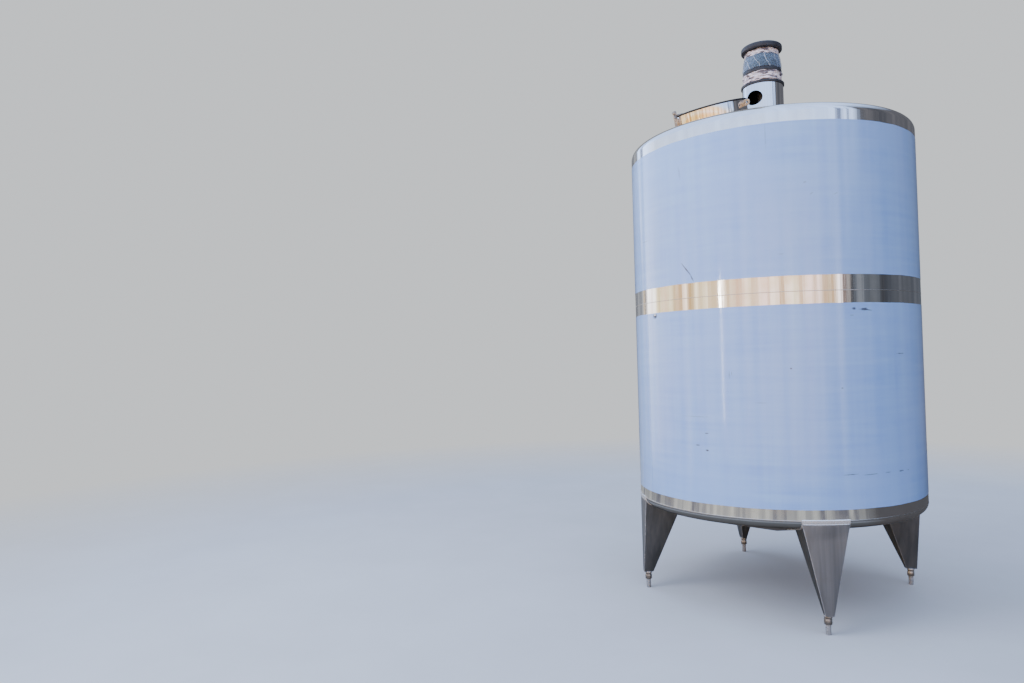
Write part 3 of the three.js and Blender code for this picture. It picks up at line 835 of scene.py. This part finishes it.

# %% [markdown]
# Each leg ends in a turned foot: a cap plate, a sleeve with a groove, and a round post that carries it.
# One outline per foot would do, but the cap and the post take the soft painted highlight and the sleeve on
# the post takes dressed plate, so the three are spun apart and joined as one mesh with two finishes.

# %% Feet
FOOT_DISTANCE = 0.842
POST_RADIUS, SLEEVE_RADIUS, CAP_RADIUS, GROOVE_RADIUS = 0.014, 0.021, 0.025, 0.0165
SLEEVE_BORE = 0.0143
POST_TOP, CAP_LOW, CAP_HIGH = 0.0994, 0.0997, 0.1047
SLEEVE_LOW, GROOVE_LOW, GROOVE_HIGH = 0.057, 0.084, 0.091
# Finish 0, on the cap and the post, is the soft painted highlight; finish 1, on the sleeve, is dressed
# plate
FOOT_PARTS = (
    (0, ring_outline(0, CAP_RADIUS, CAP_LOW, CAP_HIGH)),
    (1, [(SLEEVE_BORE, SLEEVE_LOW), (SLEEVE_RADIUS, SLEEVE_LOW), (SLEEVE_RADIUS, GROOVE_LOW),
        (GROOVE_RADIUS, GROOVE_LOW), (GROOVE_RADIUS, GROOVE_HIGH), (SLEEVE_RADIUS, GROOVE_HIGH),
        (SLEEVE_RADIUS, POST_TOP), (SLEEVE_BORE, POST_TOP)]),
    (0, ring_outline(0, POST_RADIUS, 0, POST_TOP)),
)
for side, turn in SIDE_TURNS.items():
    foot = bmesh.new()
    for finish_index, outline in FOOT_PARTS:
        part = turned(outline, SMALL_STEPS)
        soften(part, 0.001)
        for face in part.faces:
            face.material_index = finish_index
        stored = mesh_of(part, "foot_part")
        foot.from_mesh(stored)
        bpy.data.meshes.remove(stored)
    bmesh.ops.translate(foot, verts=foot.verts, vec=FOOT_DISTANCE * toward(turn))
    nodes = [f"foot_cap_{side}", f"foot_sleeve_{side}", f"foot_post_{side}"]
    show(foot, f"turned_foot_{side}", [painted_soft_highlight, dressed], stands_for=nodes)

# %% [markdown]
# The manway is a short pipe with a flat lid. All its pieces are spun upright at the origin and then
# carried onto the roof by one matrix, the manway's own frame. The pipe's lower edge must lie on the
# cone, which isn't flat, so its lowest vertices are moved along the pipe until they touch the roof.

# %% Manway neck and seal
NECK_TOP = 0.062
SEAL = (0.212, 0.222, NECK_TOP + GAP, NECK_TOP + GAP + 0.005)
LANDING_STEPS = 8
up_the_neck = manway_frame.to_3x3() @ Vector((0, 0, 1))


def drop_to_roof(bm, below):
    """Moves the vertices lower than `below` along the neck, as far as the cone is from its foot."""
    for vert in bm.verts:
        if vert.co.z > below:
            continue
        spot = manway_frame @ Vector((vert.co.x, vert.co.y, 0))
        for _ in range(LANDING_STEPS):
            short = cone_height(ROOF, math.hypot(spot.x, spot.y)) + GAP - spot.z
            spot += up_the_neck * short
        vert.co.z += (manway_frame.inverted() @ spot).z


def show_on_roof(bm, name, finishes, **options):
    """Carries a piece from the origin to the manway and shows it."""
    bmesh.ops.transform(bm, matrix=manway_frame, verts=bm.verts)
    show(bm, name, finishes, **options)


def fillet_outline(radius, heights):
    """A fillet weld round a pipe, through four heights from the pipe outward and back."""
    reaches = (-0.0005, 0.006, 0.004, -0.0005)
    return [(radius + reach, height) for reach, height in zip(reaches, heights)]


neck = turned(ring_outline(NECK_BORE, NECK_RADIUS, 0, NECK_TOP), PIPE_STEPS)
drop_to_roof(neck, 0.001)
rim = [edge for edge in neck.edges if min(vert.co.z for vert in edge.verts) > NECK_TOP - 1e-5]
round_off(neck, rim, 0.001, 3)
show_on_roof(neck, "neck_pipe", polished, stands_for=["manway_neck"])

bead = turned(fillet_outline(NECK_RADIUS, (-0.0005, -0.0005, 0.0025, 0.005)), PIPE_STEPS)
drop_to_roof(bead, NECK_TOP)
show_on_roof(bead, "neck_weld", weld)

seal = turned(ring_outline(*SEAL), PIPE_STEPS)
soften(seal, 0.0012)
show_on_roof(seal, "lid_seal", rubber, stands_for=["manway_gasket"])

# %% [markdown]
# The lid is pressed from 4 mm plate, with a flat rim and a low crown. Its cut edge is near black: painted
# shade along the lid's rim.
# It rides on the lid's own body, so it swings up on its hinge. The small plates round the neck are cut
# and dressed by hand: copies of the CAD solids with a fine bevel on every edge.

# %% Lid and hinge
LID_RADIUS, LID_FLAT = 0.222, 0.182
LID_LOW, LID_PLATE, LID_CROWN = 0.0676, 0.004, 0.008
LID_EDGE = 0.0015


def axis_distance(face):
    """How far the middle of a face stands from Z."""
    centre = face.calc_center_median()
    return math.hypot(centre.x, centre.y)


crown = [(0.0, 1.0), (0.06, 0.93), (0.12, 0.66), (0.155, 0.34), (LID_FLAT, 0.0)]
outline = [(radius, LID_LOW + LID_CROWN * rise) for radius, rise in crown]
outline += [(LID_RADIUS, LID_LOW), (LID_RADIUS, LID_LOW + LID_PLATE)]
outline += [(radius, LID_LOW + LID_PLATE + LID_CROWN * rise) for radius, rise in crown[::-1]]
lid = turned(outline, PIPE_STEPS)
soften(lid, 0.0012)
# The outer edge faces take finish 1, near black: painted shade along the lid's rim
for face in lid.faces:
    face.material_index = int(axis_distance(face) > LID_RADIUS - LID_EDGE)
show_on_roof(lid, "pressed_lid", [polished, painted_shade], body="manway_lid", stands_for=["manway_lid"])

DRESSED = {
    "lid_hinge_arm": "manway_lid",
    "hinge_lug": "tank",
    "hinge_pin": "tank",
    "clamp_lug_right": "tank",
    "clamp_lug_back": "tank",
}
for node, body in DRESSED.items():
    bm = copy_of(node)
    soften(bm, 0.0009, angle=50)
    show(bm, f"dressed_{node}", dressed, body=body, stands_for=[node])

# %% [markdown]
# The stool is a pipe that lifts the drive off the roof, with an oval hatch through which the coupling
# is reached. It is spun like the neck, and a drum lying on its side, a little wider than tall, cuts the
# hatch.

# %% Stool and flange
STOOL_RADIUS, STOOL_PLATE, STOOL_TOP = 0.129, 0.004, 3.271
STOOL_ROWS = (3.12, 3.18, 3.24, STOOL_TOP)
HATCH_HALF_WIDTH, HATCH_HALF_HEIGHT, HATCH_HEIGHT = 0.054, 0.047, 3.179
HATCH_ANGLE = math.radians(-86.8)
HATCH_STEPS = 48
stool_inner = STOOL_RADIUS - STOOL_PLATE
outline = [(radius, cone_height(ROOF, radius, GAP)) for radius in (stool_inner, STOOL_RADIUS)]
outline += [(STOOL_RADIUS, height) for height in STOOL_ROWS]
outline += [(stool_inner, height) for height in STOOL_ROWS[::-1]]
stool_skin = turned(outline, PIPE_STEPS)
# The inside faces take finish 1, near black: painted shade inside the stool, seen through the hatch
for face in stool_skin.faces:
    face.material_index = int(axis_distance(face) < stool_inner + 0.001)
stool = show(stool_skin, "stool_pipe", [polished, painted_shade], stands_for=["stool"])

lying_down = standing_at(HATCH_ANGLE, STOOL_RADIUS, HATCH_HEIGHT, math.radians(90))
oval = Matrix.Diagonal((HATCH_HALF_HEIGHT, HATCH_HALF_WIDTH, 1, 1))
drill(stool, 1, STOOL_RADIUS, HATCH_STEPS, lying_down @ oval)

foot_of_stool = cone_height(ROOF, STOOL_RADIUS, GAP)
bead_heights = [foot_of_stool + rise for rise in (0, -0.0014, 0.002, 0.005)]
show(turned(fillet_outline(STOOL_RADIUS, bead_heights), PIPE_STEPS), "stool_weld", weld)

FLANGE_BORE, FLANGE_RADIUS, FLANGE_TOP = 0.040, 0.136, 3.287
flange = turned(ring_outline(FLANGE_BORE, FLANGE_RADIUS, STOOL_TOP, FLANGE_TOP), PIPE_STEPS)
soften(flange, 0.0018)
show(flange, "drive_flange", dark_paint, stands_for=["stool_flange"])

# %% [markdown]
# The drive is a stack: gear case, ring, motor and fan cowl. The gear case hides under its wrapping, so
# its CAD solid stays and only takes paint. The ring, the motor and the cowl are spun with the rounded
# corners of castings, and the motor's foot is as dark as the ring it stands on.

# %% Drive
RING_RADIUS, RING_LOW, RING_HIGH = 0.122, 3.352, 3.375
MOTOR_FOOT, MOTOR_SHOULDER = 3.383, 3.436
COWL_RADIUS, COWL_LOW, COWL_HIGH, COWL_CORNER = 0.129, 3.509, 3.544, 0.008
MOTOR_OUTLINE = [(0.118, RING_HIGH), (0.1172, MOTOR_FOOT), (0.112, MOTOR_SHOULDER), (0.098, 3.476),
    (0.098, COWL_LOW)]

ring = turned(ring_outline(0, RING_RADIUS, RING_LOW, RING_HIGH), PIPE_STEPS)
soften(ring, 0.003, segments=3)
show(ring, "cast_ring", dark_paint, stands_for=["drive_ring"])

motor = turned([(0, RING_HIGH), *MOTOR_OUTLINE, (0, COWL_LOW)], PIPE_STEPS)
soften(motor, 0.004, segments=3, angle=10)
for face in motor.faces:
    face.material_index = int(face.calc_center_median().z < MOTOR_FOOT)
show(motor, "motor_case", [motor_paint, dark_paint], stands_for=["motor_body"])

cowl = turned([(0, COWL_LOW), (COWL_RADIUS, COWL_LOW), (COWL_RADIUS, COWL_HIGH - COWL_CORNER),
    (COWL_RADIUS - COWL_CORNER, COWL_HIGH), (0, COWL_HIGH)], PIPE_STEPS)
soften(cowl, 0.0035, segments=3, angle=20)
show(cowl, "fan_cover", dark_paint, stands_for=["fan_cowl"])

# %% [markdown]
# Stretch film crumples into ridges that run round the drive. A turned skin with many rows gives the
# plain band, which bulges where the film is gathered, and fractal noise then pushes each point in and
# out and up and down. The noise is read at the point's bearing and height, so both faces move together
# and every run gives the same folds.

# %% Crumpled skins
FILM_GAUGE = 0.0006
SKIN_ROWS = 30
# How fast the crumples and the lifted edges change round the drive
CRUMPLE_TURNS, LIFT_TURNS = 3.2, 1.9
# The fractal noise halves each octave's share and doubles its scale
FALL_OFF, LACUNARITY, CRUMPLE_OCTAVES, LIFT_OCTAVES = 1.0, 2.0, 4, 3
# Where the core stops the film, a hundredth of its bulge is left so that its two faces stay apart
LEAST_BULGE = 0.01


def skin_outline(rows):
    """A closed outline for a thin skin through (radius, height) rows, filled in with more rows."""
    outer = []
    for index in range(SKIN_ROWS + 1):
        place = index * (len(rows) - 1) / SKIN_ROWS
        first = min(int(place), len(rows) - 2)
        low, high = Vector(rows[first]), Vector(rows[first + 1])
        outer.append(tuple(low.lerp(high, place - first)))
    return outer + [(radius - FILM_GAUGE, height) for radius, height in outer[::-1]]


def film_skin(name, finish, rows, core, depth, lift, ridges, stands_for=()):
    """Spins a skin and crumples it, but never closer to the axis than the core at that height."""
    bm = turned(skin_outline(rows), TANK_STEPS)
    first_radius, first_height = rows[0]
    for vert in bm.verts:
        outward = Vector((vert.co.x, vert.co.y, 0)).normalized()
        crumple_spot = outward * CRUMPLE_TURNS + Vector((0, 0, vert.co.z * ridges))
        lift_spot = outward * LIFT_TURNS + Vector((0, 0, first_height))
        push = noise.fractal(crumple_spot, FALL_OFF, LACUNARITY, CRUMPLE_OCTAVES) * depth
        rise = noise.fractal(lift_spot, FALL_OFF, LACUNARITY, LIFT_OCTAVES) * lift
        radius = math.hypot(vert.co.x, vert.co.y)
        least = core(vert.co.z) + (radius - first_radius) * LEAST_BULGE
        moved = outward * max(radius + push, least)
        vert.co = Vector((moved.x, moved.y, vert.co.z + rise))
    show(bm, name, finish, stands_for=stands_for, smooth_below=80)


print("a skin has", SKIN_ROWS, "rows and is", FILM_GAUGE, "m thick")

# %% [markdown]
# Two opaque bands of many layers are wound round the drive, one under the ring and one under the cowl.
# One clear layer reaches from the ring up to the motor's neck. The rows are a band's outline, and a
# function gives how close to the axis the film may come, so that no fold sinks into the casting.

# %% Wrapping
# Each wrap has its rows, how near the axis it may come at a height, its depth and its lift
WRAPS = {
    "lower": ([(0.1165, 3.2925), (0.1212, 3.3), (0.1188, 3.31), (0.1222, 3.319), (0.1185, 3.328),
        (0.1222, 3.337), (0.1246, 3.345), (0.1242, 3.3505)],
        lambda height: 0.1233 if height > RING_LOW - 0.006 else 0.1130, 0.0045, 0.0050),
    "upper": ([(0.1058, 3.47), (0.1085, 3.477), (0.1045, 3.485), (0.1075, 3.493), (0.104, 3.5),
        (0.105, 3.5045)],
        lambda height: 0.1006 if height > 3.474 else 0.1046, 0.0040, 0.0032),
}
WRAP_RIDGES, CLEAR_RIDGES = 95, 30
CLEAR_ROWS = [(0.1205, 3.3785), (0.1215, 3.395), (0.12, 3.418), (0.1165, 3.444), (0.107, 3.474)]


def motor_side(height):
    """The motor's side and shoulder, with a little room."""
    return min(0.1188 - 0.098 * (height - RING_HIGH), 0.1128 - 0.35 * (height - MOTOR_SHOULDER))


for name, (rows, core, depth, lift) in WRAPS.items():
    film_skin(f"crumpled_wrap_{name}", wrapping, rows, core, depth, lift, WRAP_RIDGES, [f"wrap_{name}"])
film_skin("motor_film", clear_film, CLEAR_ROWS, motor_side, 0.0040, 0.0016, CLEAR_RIDGES)

# %% [markdown]
# Some solids are right as they are: the shaft, its seal and the gear case, which show only through the
# hatch or not at all. They keep their shape, and a finish goes into each of their material slots.

# %% Finishes on the solids that stay
# The shaft and its seal take the near-black finish: painted shade inside the stool
KEPT = {"shaft_seal": painted_shade, "drive_shaft": painted_shade, "drive_base": motor_paint}
for node, finish in KEPT.items():
    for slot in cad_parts[node].material_slots:
        slot.material = finish
print("kept solids:", sorted(KEPT))

# %% [markdown]
# The tank stands on a plain pale floor that fades into the background. Polished steel shows whatever
# surrounds it, so the light is planned as reflections. The Light Path node tells the camera's rays from all
# others: the camera sees a pale floor, and the steel sees a ground with painted shadow near the tank,
# painted cream sunlight further out, and painted shade on the side that gives the tank its dark right edge.

# %% Floor
FLOOR_RADIUS = 9.0
FLOOR_STEPS = 96
# Just under the feet, so that their round ends don't lie in the same plane
FLOOR_DROP = 0.0005
DARK_SIDE = (0.391, 0.920, 0.0)
NO_CHANGE = (1.0, 1.0, 1.0)
# What the steel sees of the ground, by distance in metres from the tank's axis: painted shadow near the
# tank, painted sunlit cream further out
RING_STOPS = (
    (0.00, (0.090, 0.076, 0.058)), (1.40, (0.130, 0.110, 0.086)), (1.60, (0.245, 0.216, 0.178)),
    (1.85, (0.238, 0.210, 0.176)), (2.10, (0.165, 0.143, 0.115)), (2.90, (0.170, 0.148, 0.122)),
    (3.30, (0.560, 0.510, 0.436)), (3.75, (0.430, 0.395, 0.345)), (9.00, (0.500, 0.430, 0.310)))

bm = bmesh.new()
bmesh.ops.create_circle(bm, cap_ends=True, segments=FLOOR_STEPS, radius=FLOOR_RADIUS)
floor_mesh = mesh_of(bm, "floor")
floor = new_object("floor", floor_mesh)
floor.location.z = -FLOOR_DROP

floor_paint, tree, shader, position = new_finish("floor_paint", "none",
    Roughness=0.9, Specular_IOR_Level=0.0)
speckle = use(tree, haze, Position=position, Scale=1.2, Amount=0.5)
pale = blend_colour(tree, speckle, (0.64, 0.60, 0.56), (0.68, 0.64, 0.60))
distance = vectors(tree, "LENGTH", position)
rings = ramp_of(tree, rescale(tree, distance, 0.0, FLOOR_RADIUS),
    [(metres / FLOOR_RADIUS, tint) for metres, tint in RING_STOPS])
barred = use(tree, bars, Direction=position, Count=11.0)
cream = blend_colour(tree, barred, (0.40, 0.35, 0.34), (1.50, 1.32, 1.00))
gain = blend_colour(tree, rescale(tree, distance, 3.1, 3.6), NO_CHANGE, cream)
facing = vectors(tree, "DOT_PRODUCT", levelled(tree, position), DARK_SIDE)
shaded = rescale(tree, facing, 0.25, 0.53)
# The side toward DARK_SIDE is painted shade
ground = blend_colour(tree, shaded, product(tree, rings, gain), (0.116, 0.090, 0.067))
seen = put(tree, "LightPath").outputs["Is Camera Ray"]
fade_out = rescale(tree, distance, 4.5, FLOOR_RADIUS - 0.2, 1.0, 0.0)
feed(tree, shader, {"Base Color": blend_colour(tree, seen, ground, pale), "Alpha": fade_out})
floor_mesh.materials.append(floor_paint)
print("floor radius:", FLOOR_RADIUS, "m")

# %% [markdown]
# The world is what the steel mirrors: golden or grey below the horizon, cream along it and pale blue
# above. An image of a real sky could do this, but two ramps over the height are easy to tune and carry
# no picture. The camera never sees them, because the Light Path node gives it a plain background.

# %% Sky
world = bpy.data.worlds.new("room")
bpy.context.scene.world = world
world.use_nodes = True
tree = world.node_tree
background = tree.nodes["Background"]
way = put(tree, "TexCoord").outputs["Generated"]
bearing, rise = bearing_and_height(tree, way)
round_share = rescale(tree, bearing, -math.pi, math.pi)
height = rescale(tree, rise, -0.4, 0.9)
low_down = rescale(tree, rise, 0.25, 0.10)
quite_low = rescale(tree, rise, 0.50, 0.36)


def by_bearing(*stops):
    """A ramp round the compass, through (degrees from +X, tint) stops."""
    return ramp_of(tree, round_share, [((degrees + 180) / 360, tint) for degrees, tint in stops])


# The golden side's sky and the other sides' end in the same blue
BLUE_STOPS = ((0.54, (1.08, 1.50, 2.45)), (1.00, (1.05, 1.45, 2.35)))
GOLD_STOPS = (
    (0.00, (0.30, 0.22, 0.14)), (0.10, (0.98, 0.66, 0.32)), (0.20, (1.62, 1.14, 0.54)),
    (0.29, (1.80, 1.25, 0.55)), (0.325, (1.82, 1.38, 0.88)), (0.348, (1.77, 1.58, 1.36)),
    (0.375, (1.78, 1.62, 1.44)), (0.40, (1.92, 1.45, 0.88)), (0.455, (1.85, 1.38, 0.85)),
    (0.50, (1.45, 1.62, 2.00)), *BLUE_STOPS)
PLAIN_STOPS = (
    (0.00, (0.30, 0.28, 0.26)), (0.10, (0.62, 0.57, 0.50)), (0.20, (0.95, 0.87, 0.76)),
    (0.29, (1.25, 1.15, 1.02)), (0.325, (1.60, 1.50, 1.38)), (0.40, (1.80, 1.70, 1.62)),
    (0.46, (1.45, 1.65, 2.05)), *BLUE_STOPS)
NONE = (0, 0, 0)
golden_side = by_bearing((-173, NONE), (-168, NO_CHANGE), (-38, NO_CHANGE), (-20, NONE))
sky = blend_colour(tree, golden_side, ramp_of(tree, height, PLAIN_STOPS), ramp_of(tree, height, GOLD_STOPS))
print("sky stops:", len(GOLD_STOPS), "golden,", len(PLAIN_STOPS), "plain")

# %% [markdown]
# A round wall turns compass directions into places from left to right, so the low part is painted by
# bearing. The bars make it brighter and darker in turn, one ramp tints it gold, pink and white, and
# another draws the narrow bright and dark lines where the bright side meets the dark one.

# %% Bars and lines low down
barred = use(tree, bars, Direction=way, Count=9.0)
hue = use(tree, bars, Direction=way, Count=5.0)
high_gain = blend_colour(tree, barred, (0.90, 0.90, 0.90), (1.06, 1.06, 1.06))
low_gain = blend_colour(tree, barred, (0.58, 0.46, 0.30), (1.50, 1.53, 1.56))
varied = blend_colour(tree, hue, (1.06, 0.95, 0.98), (0.97, 1.01, 0.92))
GOLD, PINK, WHITE = (1.04, 1.00, 0.90), (1.06, 0.97, 0.97), (1.10, 1.16, 1.30)
low_tint = by_bearing((-171, WHITE), (-166, GOLD), (-112, GOLD), (-76, PINK), (-14, PINK), (-6, WHITE))
gain = blend_colour(tree, low_down, high_gain, product(tree, low_gain, low_tint, varied))
DARK, GLARE, LIGHT, PALE = (0.26, 0.25, 0.27), (1.7, 1.75, 1.8), (1.35, 1.38, 1.42), (1.25, 1.25, 1.25)
edge_lines = by_bearing(
    (-176, GLARE), (-172, PALE), (-166, PALE), (-162, NO_CHANGE), (-6.5, NO_CHANGE), (-5, DARK), (-2, DARK),
    (-1, NO_CHANGE), (2, NO_CHANGE), (2.6, DARK), (4, DARK), (4.6, NO_CHANGE), (160, NO_CHANGE),
    (161, LIGHT), (170, LIGHT), (171.5, DARK), (174.5, DARK), (177, GLARE))
bright_side = product(tree, sky, gain, blend_colour(tree, quite_low, NO_CHANGE, edge_lines))
print("low part: nodes so far", len(tree.nodes))

# %% [markdown]
# Without something dark to mirror, polished steel looks like grey paint. The dark side gives the wall
# its dark right edge, and next to it lies a grey one. Both reach a little further round low down, and
# the dark side has its own bars, with bluish and dull parts and a warmer ground. It fades before the
# zenith, so that the roof, which looks up, stays pale.

# %% Dark side
GREY_SIDE = (math.cos(math.radians(139)), math.sin(math.radians(139)), 0.0)
compass = levelled(tree, way)
toward_dark = vectors(tree, "DOT_PRODUCT", compass, DARK_SIDE)
toward_grey = vectors(tree, "DOT_PRODUCT", compass, GREY_SIDE)
shade = rescale(tree, maths(tree, "MULTIPLY_ADD", low_down, 0.20, toward_dark), 0.492, 0.605)
grey_share = rescale(tree, maths(tree, "MULTIPLY_ADD", low_down, 0.045, toward_grey), 0.905, 0.925)
grey = blend_colour(tree, barred, (0.14, 0.15, 0.18), (0.70, 0.74, 0.82))
lit_side = blend_colour(tree, grey_share, bright_side, grey)
BLUISH, SLATE, DULL, DEEP = (1.70, 1.95, 2.25), (0.92, 1.06, 1.24), (0.82, 0.92, 1.08), (0.58, 0.62, 0.70)
dusk_bars = blend_colour(tree, barred, (0.088, 0.090, 0.100), (0.185, 0.178, 0.182))
low_dusk = by_bearing((-180, NO_CHANGE), (-6, DEEP), (2.5, DEEP), (4.5, BLUISH), (9, BLUISH), (15, SLATE),
    (27, SLATE), (29, DEEP), (32, DEEP), (36, DULL), (75, DULL), (110, SLATE), (130, NO_CHANGE))
dusk_tint = blend_colour(tree, low_down, (1.0, 1.05, 1.18), low_dusk)
ground_tint = ramp_of(tree, height, ((0.29, (1.30, 1.06, 0.84)), (0.35, NO_CHANGE)))
dusk = product(tree, dusk_bars, dusk_tint, ground_tint)
overhead = rescale(tree, rise, 0.55, 0.85, 1.0, 0.1)
surround = blend_colour(tree, maths(tree, "MULTIPLY", shade, overhead), lit_side, dusk)
seen = put(tree, "LightPath").outputs["Is Camera Ray"]
feed(tree, background, {"Color": blend_colour(tree, seen, surround, (0.82, 0.85, 0.88))})
print("world nodes:", len(tree.nodes))

# %% [markdown]
# Two soft lamps finish the light: a broad one high on the left that models the round wall, and a tall
# narrow one whose reflection is the pale upright streak on the film. The broad lamp stays out of
# reflections, because a square lamp in a mirror looks like a square lamp.

# %% Lamps
AIM = Vector((0, 0, 1.6))
# Each lamp has its place, its width and height, its power in watts and its tint
LAMPS = {
    "key": ((-2.2, -5.2, 5.2), (3.6, 3.6), 210, (0.81, 0.94, 1.22)),
    "streak": ((-0.6, -5.2, 1.6), (0.045, 1.7), 9, (1.0, 0.99, 0.96)),
}
for name, (place, (wide, tall), power, tint) in LAMPS.items():
    lamp = bpy.data.lights.new(name, "AREA")
    lamp.shape = "RECTANGLE"
    lamp.size, lamp.size_y = wide, tall
    lamp.energy = power
    lamp.color = tint
    holder = new_object(name, lamp)
    holder.location = place
    holder.rotation_euler = (AIM - Vector(place)).to_track_quat("-Z", "Y").to_euler()
    holder.visible_camera = False
    holder.visible_glossy = name == "streak"
print("lamps:", sorted(LAMPS))
